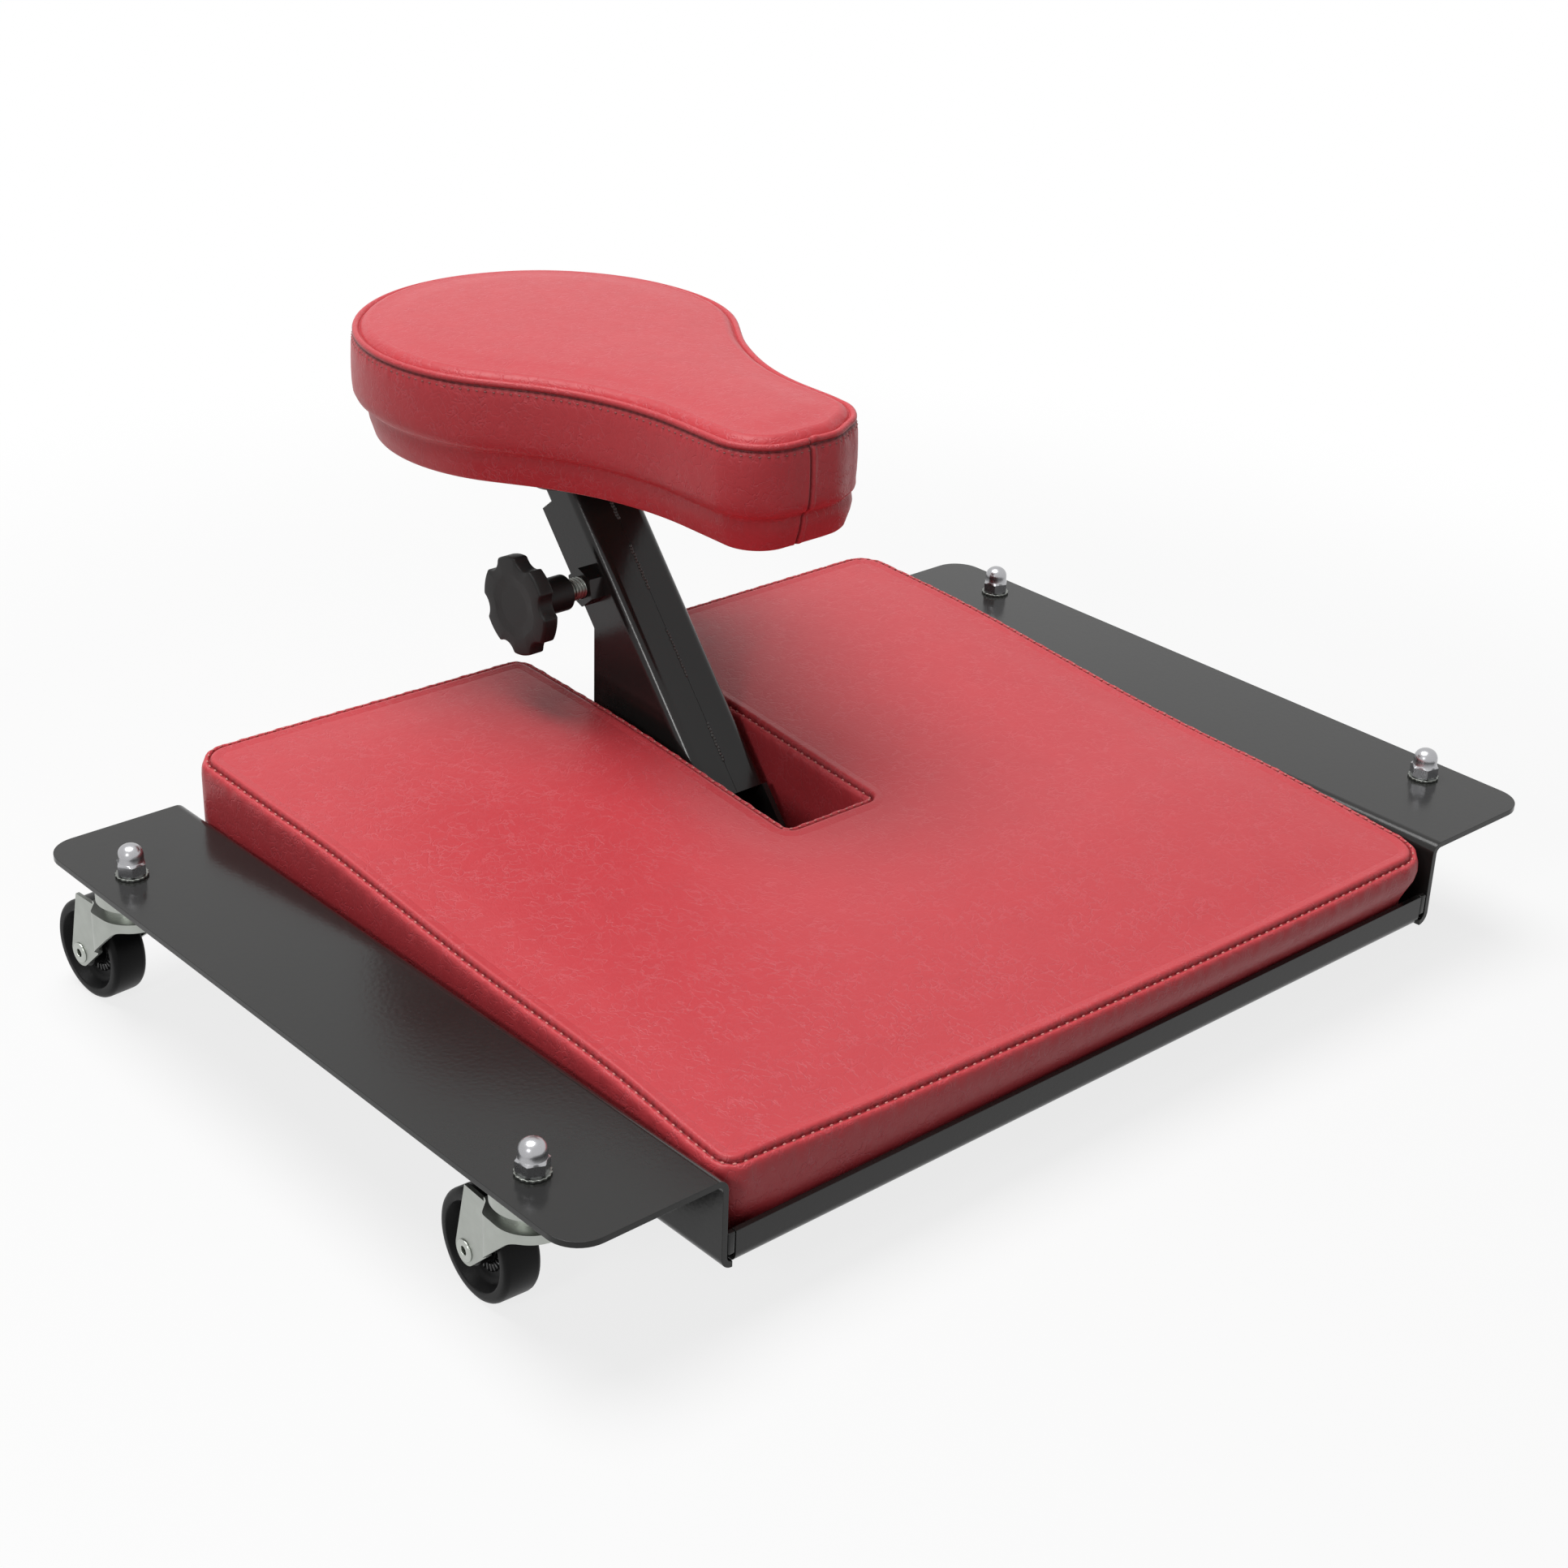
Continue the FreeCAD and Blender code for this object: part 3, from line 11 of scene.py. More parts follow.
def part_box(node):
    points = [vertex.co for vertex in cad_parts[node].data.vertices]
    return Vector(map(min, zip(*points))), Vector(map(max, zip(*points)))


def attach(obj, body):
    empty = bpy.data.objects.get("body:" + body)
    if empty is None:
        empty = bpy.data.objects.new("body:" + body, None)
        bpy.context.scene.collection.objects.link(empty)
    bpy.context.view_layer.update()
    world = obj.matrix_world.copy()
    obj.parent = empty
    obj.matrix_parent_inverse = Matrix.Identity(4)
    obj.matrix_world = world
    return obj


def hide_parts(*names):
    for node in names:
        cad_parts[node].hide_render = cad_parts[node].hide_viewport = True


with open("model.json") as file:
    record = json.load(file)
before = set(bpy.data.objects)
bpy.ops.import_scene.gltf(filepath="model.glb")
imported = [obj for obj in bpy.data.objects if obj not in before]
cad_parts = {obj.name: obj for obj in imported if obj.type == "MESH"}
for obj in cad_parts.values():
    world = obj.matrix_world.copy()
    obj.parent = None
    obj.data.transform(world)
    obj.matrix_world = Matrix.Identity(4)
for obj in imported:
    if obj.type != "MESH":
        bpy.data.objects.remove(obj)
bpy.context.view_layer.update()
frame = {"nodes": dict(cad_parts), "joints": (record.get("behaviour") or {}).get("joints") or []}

bl_info = {
    "name": "Tilers Rolling Stool",
    "version": (1, 0, 0),
    "blender": (4, 5, 0),
    "location": "3D View > Sidebar > Stool",
    "description": "Upholstery, metalwork, casters and studio of a tilers' rolling stool",
    "category": "Object",
}

MM = 0.001
FULL_TURN = 2 * math.pi
CORNERS = ("left_front", "right_front", "left_rear", "right_rear")

# Places in millimetres that the pieces share, read from the loaded frame
JOINTS = {joint["name"]: joint for joint in frame["joints"]}


def box_mm(node):
    """Lowest and highest corner of a CAD node in millimetres."""
    low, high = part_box(node)
    return np.array(low) / MM, np.array(high) / MM


TRAY_LOW, TRAY_HIGH = box_mm("base_pan")
PAD_LOW, PAD_HIGH = box_mm("kneeling_pad")
SEAT_LOW, SEAT_HIGH = box_mm("seat_cushion")
TRAY_MIDDLE = (TRAY_LOW[1] + TRAY_HIGH[1]) / 2
WING_TOP = TRAY_HIGH[2]

# The post's front behind the tray's middle, the tray's sheet, and half the length of its lips
POST_FRONT = 60.7
SHEET = 3.0
LIP_HALF = 228.0


class StoolSizes(bpy.types.PropertyGroup):
    """Sizes of the upholstery and the small metal parts."""

    pad_stitch: FloatProperty(name="Pad stitch", description="Pitch of the stitches round the kneeling pad",
                              default=5.2 * MM, min=2 * MM, max=12 * MM, unit="LENGTH", precision=4)
    seat_stitch: FloatProperty(name="Saddle stitch", description="Pitch of the stitches round the saddle",
                               default=4.4 * MM, min=2 * MM, max=12 * MM, unit="LENGTH", precision=4)
    thread: FloatProperty(name="Thread", description="Diameter of the sewing thread",
                          default=1.1 * MM, min=0.2 * MM, max=2 * MM, unit="LENGTH", precision=5)
    pad_swell: FloatProperty(name="Pad swell", description="Most that the pad's top swells over its seam",
                             default=1.6 * MM, min=0, max=16 * MM, unit="LENGTH", precision=4)
    seat_swell: FloatProperty(name="Saddle swell", description="Most that the saddle's top swells over its seam",
                              default=2.6 * MM, min=0, max=16 * MM, unit="LENGTH", precision=4)
    stud_pitch: FloatProperty(name="Stud pitch", description="Pitch of the clamp stud's thread",
                              default=2.0 * MM, min=0.5 * MM, max=4 * MM, unit="LENGTH", precision=5)


class StoolColours(bpy.types.PropertyGroup):
    """Colours of the finishes."""

    vinyl: FloatVectorProperty(name="Vinyl", description="Cover of the pad and the saddle", subtype="COLOR",
                               size=3, min=0, max=1, default=(0.625, 0.058, 0.071))
    thread: FloatVectorProperty(name="Thread", description="Sewing thread", subtype="COLOR",
                                size=3, min=0, max=1, default=(0.72, 0.25, 0.23))
    paint: FloatVectorProperty(name="Paint", description="Paint of the tray and the post", subtype="COLOR",
                               size=3, min=0, max=1, default=(0.020, 0.020, 0.0192))
    plastic: FloatVectorProperty(name="Plastic", description="Clamp knob and tube plug", subtype="COLOR",
                                 size=3, min=0, max=1, default=(0.014, 0.0142, 0.0138))
    wheel: FloatVectorProperty(name="Wheel", description="Moulded wheels", subtype="COLOR",
                               size=3, min=0, max=1, default=(0.007, 0.007, 0.0073))
    zinc: FloatVectorProperty(name="Zinc", description="Plated forks, rivets and screws", subtype="COLOR",
                              size=3, min=0, max=1, default=(0.40, 0.42, 0.39))
    chrome: FloatVectorProperty(name="Chrome", description="Acorn nuts and washers", subtype="COLOR",
                                size=3, min=0, max=1, default=(0.43, 0.43, 0.445))
    plywood: FloatVectorProperty(name="Plywood", description="Boards under the upholstery", subtype="COLOR",
                                 size=3, min=0, max=1, default=(0.50, 0.36, 0.21))
    nylon: FloatVectorProperty(name="Nylon", description="Thrust rings of the casters", subtype="COLOR",
                               size=3, min=0, max=1, default=(0.72, 0.71, 0.67))


class StoolStudio(bpy.types.PropertyGroup):
    """Light and floor."""

    key: FloatProperty(name="Key light", description="Power of the light overhead", default=144.0,
                       min=0, max=1000, unit="POWER")
    side: FloatProperty(name="Side light", description="Power of the light at the left", default=6.0,
                        min=0, max=200, unit="POWER")
    ambient: FloatProperty(name="Ambient", description="Strength of the even light all round", default=0.10,
                           min=0, max=2)
    floor: FloatProperty(name="Floor", description="Radius of the floor", default=6.0, min=1, max=20, unit="LENGTH")


# Shapes as arrays of points in millimetres


def unit(vectors):
    """Vectors of length 1."""
    return vectors / np.linalg.norm(vectors, axis=-1, keepdims=True)


def resample(line, count):
    """A line through points, as that many steps of equal length: lengths are summed and looked up evenly."""
    steps = np.linalg.norm(np.diff(line, axis=0), axis=1)
    run = np.concatenate([[0], np.cumsum(steps)])
    even = np.linspace(0, run[-1], count + 1)
    return np.stack([np.interp(even, run, line[:, k]) for k in range(line.shape[1])], 1)


def corner_arcs(before, points, after, radii, count):
    """Arcs that round corners, of that many points each: a centre lies on the corner's bisector, radius / sin(half
    angle) away, and the arc sweeps between the two tangent points."""
    into, out = unit(before - points), unit(after - points)
    half = np.arccos(np.clip((into * out).sum(1), -1, 1)) / 2
    centre = points + unit(into + out) * (radii / np.sin(half))[:, None]
    first, last = (points + way * (radii / np.tan(half))[:, None] - centre for way in (into, out))
    start = np.arctan2(first[:, 1], first[:, 0])
    sweep = (np.arctan2(last[:, 1], last[:, 0]) - start + math.pi) % FULL_TURN - math.pi
    angle = start[:, None] + sweep[:, None] * np.linspace(0, 1, count)
    return centre[:, None] + radii[:, None, None] * np.stack([np.cos(angle), np.sin(angle)], -1)


def rounded_sides(corners, half=16):
    """Sides of a closed outline through corners (x, y, radius), anticlockwise. Each runs from the middle of one
    corner's arc to the middle of the next, with half an arc's steps at either end."""
    table = np.array(corners, float)
    points = table[:, :2]
    arcs = corner_arcs(np.roll(points, 1, 0), points, np.roll(points, -1, 0), table[:, 2], 2 * half + 1)
    return [np.concatenate([arc[half:], after[:half + 1]]) for arc, after in zip(arcs, np.roll(arcs, -1, 0))]


def outward(loop):
    """Unit normals of a closed anticlockwise loop in plan: the tangent between neighbours, turned right."""
    along = unit(np.roll(loop, -1, 0) - np.roll(loop, 1, 0))
    return np.stack([along[:, 1], -along[:, 0]], 1)


def run_length(loop):
    """Distance along a closed loop up to each of its points, and its whole length."""
    steps = np.linalg.norm(np.roll(loop, -1, 0) - loop, axis=1)
    return np.concatenate([[0], np.cumsum(steps)[:-1]]), steps.sum()


def coons(patch):
    """Fill a grid from its four edges: the blend of opposite edges, summed both ways, less the blend of corners."""
    rows, columns = patch.shape[:2]
    u = np.linspace(0, 1, rows)[:, None, None]
    v = np.linspace(0, 1, columns)[None, :, None]
    across = (1 - u) * patch[:1] + u * patch[-1:]
    along = (1 - v) * patch[:, :1] + v * patch[:, -1:]
    corners = ((1 - u) * (1 - v) * patch[0, 0] + (1 - u) * v * patch[0, -1]
               + u * (1 - v) * patch[-1, 0] + u * v * patch[-1, -1])
    return across + along - corners


def grid_faces(rows, columns, close_rows=False, close_columns=False):
    """Quads of a grid of points numbered row by row. A closed direction joins its last line to its first."""
    r = np.arange(rows if close_rows else rows - 1)[:, None]
    c = np.arange(columns if close_columns else columns - 1)[None, :]
    r_next, c_next = (r + 1) % rows, (c + 1) % columns
    quads = np.stack(np.broadcast_arrays(r * columns + c, r * columns + c_next,
                                         r_next * columns + c_next, r_next * columns + c), -1)
    return quads.reshape(-1, 4)


def joined(*shapes):
    """Several (points, faces) as one."""
    starts = np.cumsum([0] + [len(points) for points, _ in shapes[:-1]])
    points = np.concatenate([points for points, _ in shapes])
    faces = np.concatenate([faces + start for (_, faces), start in zip(shapes, starts)])
    return points, faces


def smooth_step(value, low, high):
    """0 below low, 1 above high, and 3t^2 - 2t^3 between."""
    t = np.clip((value - low) / (high - low), 0, 1)
    return t * t * (3 - 2 * t)


def lathe(profile, segments, radius_of=None):
    """A profile of (radius, height) turned about the z axis: x = r cos a, y = r sin a, z = height, where
    radius_of(angle, r, height) may change the radius round the turn."""
    angle = np.linspace(0, FULL_TURN, segments, endpoint=False)[None, :]
    radius, height = (np.repeat(column, segments, 1) for column in (profile[:, :1], profile[:, 1:]))
    if radius_of is not None:
        radius = radius_of(angle, radius, height)
    points = np.stack([radius * np.cos(angle), radius * np.sin(angle), height], -1)
    return points.reshape(-1, 3), grid_faces(len(profile), segments, close_columns=True)


def rounded_profile(corners, count=5):
    """A profile of (radius, height, rounding) with each rounded corner replaced by an arc of that many points."""
    table = np.array(corners, float)
    points, radii = table[:, :2], table[1:-1, 2]
    arcs = corner_arcs(points[:-2], points[1:-1], points[2:], radii, count)
    inner = [arc if radius > 0 else arc[:1] for arc, radius in zip(arcs, radii)]
    return np.concatenate([points[:1], *inner, points[-1:]])


def slab(low, high, rounding, side_steps=8, edge_rows=4):
    """A plate with rounded edges: a rounded rectangle in plan, drawn in by a quarter circle at its foot and top, and
    closed there by its middle."""
    (x0, y0, z0), (x1, y1, z1) = low, high
    corners = [(x, y, 2 * rounding) for x, y in ((x0, y0), (x1, y0), (x1, y1), (x0, y1))]
    loop = np.concatenate([resample(side, side_steps)[:-1] for side in rounded_sides(corners)])
    turn = np.linspace(0, math.pi / 2, edge_rows)
    inset = np.concatenate([rounding * (1 - np.sin(turn)), rounding * (1 - np.sin(turn[::-1]))])
    z = np.concatenate([z0 + rounding * (1 - np.cos(turn)), z1 - rounding * (1 - np.cos(turn[::-1]))])
    plan = loop[:, None] - outward(loop)[:, None] * inset[:, None]
    rows = np.concatenate([plan, np.broadcast_to(z[:, None], plan.shape[:2] + (1,))], -1)
    middle = np.array([(x0 + x1) / 2, (y0 + y1) / 2])
    foot, top = (np.tile([*middle, end], (len(loop), 1, 1)) for end in (z0, z1))
    return strip_of(np.concatenate([foot, rows, top], 1))


def aligned(origin, axis, side):
    """A placement with its z along an axis and its x towards a side."""
    z = unit(np.asarray(axis, float))
    x = unit(side - z * np.dot(side, z))
    return np.stack([x, np.cross(z, x), z], 1), np.asarray(origin, float)


def placed(shape, place):
    """A shape moved into a placement."""
    (points, faces), (axes, origin) = shape, place
    return points @ axes.T + origin, faces


def hexagon(angle, across):
    """Distance from a hexagon's middle to its edge: half its width over the cosine of the turn from a flat."""
    turn = (angle + math.pi / 6) % (math.pi / 3) - math.pi / 6
    return across / 2 / np.cos(turn)


def threaded(radius, depth, pitch, length, segments=48, rows_per_turn=10):
    """A screw thread: the radius falls from crest to root with the distance to a helix, which is a triangle wave
    of height / pitch - angle / turn, cut flat at its crests and its roots."""
    crest, steepness = 0.12, 1.25
    height = np.linspace(0, length, int(length / pitch * rows_per_turn))
    rows = np.stack([np.full(len(height), radius), height], 1)
    profile = np.concatenate([[[0, 0]], rows, [[0, length]]])

    def helix(angle, r, z):
        wave = np.abs(2 * ((z / pitch - angle / FULL_TURN) % 1) - 1)
        return np.where(r > 0, r - depth * np.clip(steepness * wave - crest, 0, 1), 0)

    return lathe(profile, segments, helix)


# Finishes as node trees


class Wire:
    """An output socket of a finish. Arithmetic on it adds Math nodes."""

    def __init__(self, finish, socket):
        self.finish = finish
        self.socket = socket

    def maths(self, operation, *values):
        return self.finish.node("ShaderNodeMath", {"operation": operation}, dict(enumerate(values)))

    def __add__(self, other):
        return self.maths("ADD", self, other)

    def __sub__(self, other):
        return self.maths("SUBTRACT", self, other)

    def __rsub__(self, other):
        return self.maths("SUBTRACT", other, self)

    def __mul__(self, other):
        return self.maths("MULTIPLY", self, other)

    def __abs__(self):
        return self.maths("ABSOLUTE", self)

    def most(self, other):
        return self.maths("MAXIMUM", self, other)

    def between(self, low, high):
        """0 below low, 1 above high, and smooth between."""
        return self.finish.node("ShaderNodeMapRange", {"interpolation_type": "SMOOTHSTEP"},
                                {"Value": self, "From Min": low, "From Max": high})


class Finish:
    """A procedural material, or a world, built from nodes."""

    def __init__(self, name, made_in=bpy.data.materials):
        self.material = made_in.new(name)
        self.material.use_nodes = True
        self.tree = self.material.node_tree
        self.tree.nodes.clear()
        self.place = self.node("ShaderNodeTexCoord", {}, {}, "Object")

    def node(self, kind, settings, sockets, output=0):
        """One node: its settings first, then the values or links of its sockets. Hands back an output."""
        made = self.tree.nodes.new(kind)
        for name, value in settings.items():
            setattr(made, name, value)
        for name, value in sockets.items():
            if isinstance(value, Wire):
                self.tree.links.new(value.socket, made.inputs[name])
            else:
                made.inputs[name].default_value = value
        return Wire(self, made.outputs[output]) if len(made.outputs) else None

    def stretched(self, scale):
        """Object coordinates with a scale for each axis."""
        return self.node("ShaderNodeMapping", {}, {"Vector": self.place, "Scale": scale})

    def noise(self, scale, detail=2.0, rough=0.5, where=None):
        return self.node("ShaderNodeTexNoise", {}, {"Vector": where or self.place, "Scale": scale, "Detail": detail,
                                                    "Roughness": rough})

    def cells(self, scale, feature="F1"):
        return self.node("ShaderNodeTexVoronoi", {"feature": feature}, {"Vector": self.place, "Scale": scale},
                         "Distance")

    def bands(self, direction, scale, distortion):
        return self.node("ShaderNodeTexWave", {"bands_direction": direction},
                         {"Vector": self.place, "Scale": scale, "Distortion": distortion})

    def blend(self, factor, first, second):
        """One colour into another."""
        return self.node("ShaderNodeMix", {"data_type": "RGBA"}, {0: factor, 6: first, 7: second}, 2)

    def bump(self, height, strength, distance):
        return self.node("ShaderNodeBump", {}, {"Height": height, "Strength": strength, "Distance": distance})

    def shader(self, **sockets):
        """Close the tree with a Principled shader. Underscores in the names stand for spaces."""
        named = {name.replace("_", " "): value for name, value in sockets.items()}
        surface = self.node("ShaderNodeBsdfPrincipled", {}, named)
        self.node_output(surface)
        return self.material

    def node_output(self, surface, kind="ShaderNodeOutputMaterial"):
        self.node(kind, {}, {"Surface": surface})

    def background_rays(self):
        """1 for the rays that show the background: the camera's own, reflections and what is seen through glass."""
        seen, glossy, through = (self.node("ShaderNodeLightPath", {}, {}, f"Is {kind} Ray")
                                 for kind in ("Camera", "Glossy", "Transmission"))
        return seen.most(glossy).most(through)


def shade(colour, factor):
    """A colour times a factor, and full alpha."""
    return (*[min(1.0, part * factor) for part in colour[:3]], 1.0)


def vinyl_finish(colour):
    """Grained vinyl: small pebbles, fine broken wrinkles along the middle contours of two noises, and a satin sheen.
    The wrinkle lines are also painted lighter as a painted highlight, and a point attribute paints shade into what lies
    deep in a seam."""
    f = Finish("red_vinyl")
    drift = f.noise(60.0, 3.0)
    pebble = f.cells(900.0, "SMOOTH_F1")

    def wrinkles(scale, width, stretch):
        middle = f.noise(scale, 2.0, 0.45, f.stretched(stretch)) - 0.5
        return 1 - abs(middle).between(0.0, width)

    lines = wrinkles(85.0, 0.020, (1.0, 1.7, 1.3)).most(wrinkles(140.0, 0.030, (1.4, 1.0, 1.0)) * 0.8)
    lines = lines * (f.noise(70.0, 2.0).between(0.36, 0.60) * 0.75 + 0.25)
    height = pebble * 0.25 + f.noise(420.0, 3.0) * 0.5 - lines * 0.7
    tone = f.blend(drift * 0.5, shade(colour, 1.06), shade(colour, 0.88))
    # Painted highlight: the wrinkle lines are blended towards a lighter, pinker red, as if light caught their edges.
    painted_wrinkle_highlight = f.blend(lines * 0.36, tone, (min(1, colour[0] * 1.15), colour[1] * 2.2, colour[2] * 2.2, 1))
    # Painted shade: where the point attribute is set, the colour is blended towards 0.12 of itself, for the shade deep
    # in a seam.
    depth = f.node("ShaderNodeAttribute", {"attribute_name": "crease"}, {}, "Fac")
    seam_painted_shade = f.blend(depth * 0.85, painted_wrinkle_highlight, shade(colour, 0.12))
    return f.shader(Base_Color=seam_painted_shade, Roughness=f.noise(240.0, 2.0) * 0.14 + 0.34, Specular_IOR_Level=0.36,
                    Normal=f.bump(height, 0.4, 0.0006))


def thread_finish(name, colour):
    """Twisted sewing thread."""
    f = Finish(name)
    twist = f.bands("DIAGONAL", 900.0, 1.5)
    tone = f.blend(twist, shade(colour, 0.8), shade(colour, 1.15))
    return f.shader(Base_Color=tone, Roughness=0.55, Normal=f.bump(twist, 0.3, 0.0002))


def paint_finish(name, colour, gloss):
    """Satin stove paint: faint orange peel, specks of dust and soft cloudiness in its gloss."""
    f = Finish(name)
    peel = f.noise(420.0, 2.0, 0.45)
    cloud = f.noise(14.0, 4.0, 0.55)
    speck = 1 - f.cells(520.0).between(0.05, 0.16)
    rare = f.noise(60.0, 0.0).between(0.62, 0.70) * speck
    tone = f.blend(cloud * 0.6 + rare * 0.4, shade(colour, 0.88), shade(colour, 1.22))
    return f.shader(Base_Color=tone, Roughness=cloud * 0.12 + peel * 0.05 + (gloss - 0.08), Specular_IOR_Level=0.32,
                    Normal=f.bump(peel * 0.8 + rare * 0.5, 0.10, 0.0004))


def plastic_finish(name, colour, rough, sheen=0.22):
    """Moulded plastic with a fine spark-eroded texture."""
    f = Finish(name)
    grain = f.noise(1900.0, 2.0, 0.6)
    flow = f.noise(45.0, 3.0)
    tone = f.blend(flow, shade(colour, 0.85), shade(colour, 1.25))
    return f.shader(Base_Color=tone, Roughness=grain * 0.10 + flow * 0.06 + (rough - 0.08), Specular_IOR_Level=sheen,
                    Normal=f.bump(grain, 0.22, 0.0002))


def zinc_finish(name, colour, rough):
    """Bright zinc plate on pressed steel: clouded crystals and fine draw marks."""
    f = Finish(name)
    spangle = f.cells(190.0)
    cloud = f.noise(75.0, 3.0)
    draw = f.noise(160.0, 3.0, 0.6, f.stretched((1.0, 1.0, 9.0)))
    tone = f.blend(cloud * 0.5 + spangle * 0.3, shade(colour, 1.08), shade(colour, 0.80))
    return f.shader(Base_Color=tone, Metallic=1.0, Roughness=draw * 0.14 + cloud * 0.10 + (rough - 0.12),
                    Normal=f.bump(draw, 0.06, 0.0003))


def chrome_finish(colour):
    """Polished nickel with faint polishing lines."""
    f = Finish("bright_nickel")
    haze = f.noise(130.0, 4.0, 0.6)
    tone = f.blend(haze, shade(colour, 1.05), shade(colour, 0.90))
    return f.shader(Base_Color=tone, Metallic=1.0, Roughness=haze * 0.10 + 0.22,
                    Normal=f.bump(f.noise(700.0, 2.0), 0.03, 0.0002))


def plywood_finish(colour):
    """Raw birch plywood: long grain on the faces, thin layers on the edges."""
    f = Finish("birch_plywood")
    grain = f.noise(26.0, 5.0, 0.6, f.stretched((9.0, 1.0, 9.0)))
    layers = f.bands("Z", 110.0, 0.6)
    tone = f.blend(grain * 0.75 + layers * 0.25, shade(colour, 1.15), shade(colour, 0.66))
    return f.shader(Base_Color=tone, Roughness=grain * 0.15 + 0.58, Normal=f.bump(grain, 0.25, 0.0006))


# Pieces

# Points closer than this merge, in new pieces and in CAD meshes, and shorter edges go, in metres
MERGE = 1e-7
CAD_MERGE = 1e-6
SLIVER = 1e-8

# Faces flatter than this join, and edges sharper than this are rounded, in degrees
FLAT_ANGLE = 0.5
BEVEL_ANGLE = 40

# Pressure that swells the covers, its frames, and the passes that even out what it moved
CLOTH = {"vertex_group_mass": "held", "use_pressure": True, "uniform_pressure_force": 4.0, "tension_stiffness": 30,
         "compression_stiffness": 30, "bending_stiffness": 4}
CLOTH_FRAMES = 20
EVENING_PASSES = 12

# Stitches: length as a share of the pitch, height as a share of the width, and points of a seam to a cell of its cover
STITCH_LENGTH = 0.38
STITCH_HEIGHT = 0.9
SEAM_STEPS = 5

FINISHES = {}


def finish_of(name):
    """A finish by name, made once."""
    if name not in FINISHES:
        c = bpy.context.scene.stool_colours
        makers = {
            "vinyl": lambda: vinyl_finish(c.vinyl),
            "thread": lambda: thread_finish("pale_thread", c.thread),
            # Painted shade: the saddle's stitches use the same thread shaded to 0.45 of its colour.
            "dark_thread": lambda: thread_finish("dark_thread", shade(c.thread, 0.45)),
            "paint": lambda: paint_finish("black_paint", c.paint, 0.17),
            # Painted highlight: the weld beads take the paint four times lighter, for the glints on the joint's edges.
            "weld": lambda: paint_finish("weld_paint", shade(c.paint, 4), 0.3),
            "plastic": lambda: plastic_finish("knob_plastic", c.plastic, 0.46),
            "wheel": lambda: plastic_finish("wheel_plastic", c.wheel, 0.40, 0.12),
            # Partly painted highlight: the ribs are the wheel's plastic painted three times lighter, for glints on
            # them; their higher gloss is real.
            "rib": lambda: plastic_finish("rib_plastic", shade(c.wheel, 3), 0.2, 0.6),
            "zinc": lambda: zinc_finish("zinc_plate", c.zinc, 0.36),
            "zinc_bright": lambda: zinc_finish("zinc_polished", shade(c.zinc, 1.15), 0.24),
            # Painted shade: a copy of the zinc shaded to 0.55, for the shade between the stud's threads and on the
            # washers under the nuts.
            "stud": lambda: zinc_finish("stud_zinc", shade(c.zinc, 0.55), 0.3),
            "chrome": lambda: chrome_finish(c.chrome),
            "plywood": lambda: plywood_finish(c.plywood),
            "nylon": lambda: plastic_finish("pale_nylon", c.nylon, 0.5),
        }
        FINISHES[name] = makers[name]()
    return FINISHES[name]


def dress(node, name):
    """Give a CAD node that stays in view its finish."""
    mesh = frame["nodes"][node].data
    mesh.materials.clear()
    mesh.materials.append(finish_of(name))


def enter_piece(name, mesh, finish, body, replaced=(), sharp=None):
    """An object in the scene from a mesh: smooth, with a finish, on a body. sharp is the angle in degrees at which
    smooth shading breaks."""
    mesh.polygons.foreach_set("use_smooth", np.full(len(mesh.polygons), True))
    if sharp is not None:
        mesh.set_sharp_from_angle(angle=math.radians(sharp))
    mesh.materials.clear()
    mesh.materials.append(finish_of(finish))
    piece = bpy.data.objects.new(name, mesh)
    bpy.context.scene.collection.objects.link(piece)
    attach(piece, body)
    if replaced:
        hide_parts(*replaced)
    return piece


def new_piece(name, shape, finish, body, replaced=(), crease=None, sharp=None):
    """An object from (points in millimetres, quads): points that meet are merged, so seams and poles close, and faces
    are turned outwards. An optional point attribute gives each point its share of the painted shade of a sewn crease."""
    points, faces = shape
    mesh = bpy.data.meshes.new(name)
    mesh.from_pydata((points * MM).tolist(), [], faces.tolist())
    if crease is not None:
        mesh.attributes.new("crease", "FLOAT", "POINT").data.foreach_set("value", np.ravel(crease))
    work = bmesh.new()
    work.from_mesh(mesh)
    bmesh.ops.remove_doubles(work, verts=work.verts, dist=MERGE)
    bmesh.ops.dissolve_degenerate(work, edges=work.edges, dist=SLIVER)
    bmesh.ops.recalc_face_normals(work, faces=work.faces)
    work.to_mesh(mesh)
    work.free()
    return enter_piece(name, mesh, finish, body, replaced, sharp)


def vertices_of(mesh):
    """A mesh's points, in metres."""
    array = np.empty(len(mesh.vertices) * 3)
    mesh.vertices.foreach_get("co", array)
    return array.reshape(-1, 3)


def softened(node, finish, body, width):
    """A CAD node's own mesh, merged, with its sharp edges rounded by a bevel."""
    mesh = frame["nodes"][node].data.copy()
    work = bmesh.new()
    work.from_mesh(mesh)
    bmesh.ops.remove_doubles(work, verts=work.verts, dist=CAD_MERGE)
    bmesh.ops.dissolve_limit(work, angle_limit=math.radians(FLAT_ANGLE), verts=work.verts, edges=work.edges)
    work.to_mesh(mesh)
    work.free()
    piece = enter_piece(f"{node}_soft", mesh, finish, body, [node])
    bevel = piece.modifiers.new("Bevel", "BEVEL")
    bevel.width = width * MM
    bevel.segments = 2
    bevel.limit_method = "ANGLE"
    bevel.angle_limit = math.radians(BEVEL_ANGLE)
    weighted = piece.modifiers.new("Normals", "WEIGHTED_NORMAL")
    weighted.keep_sharp = True


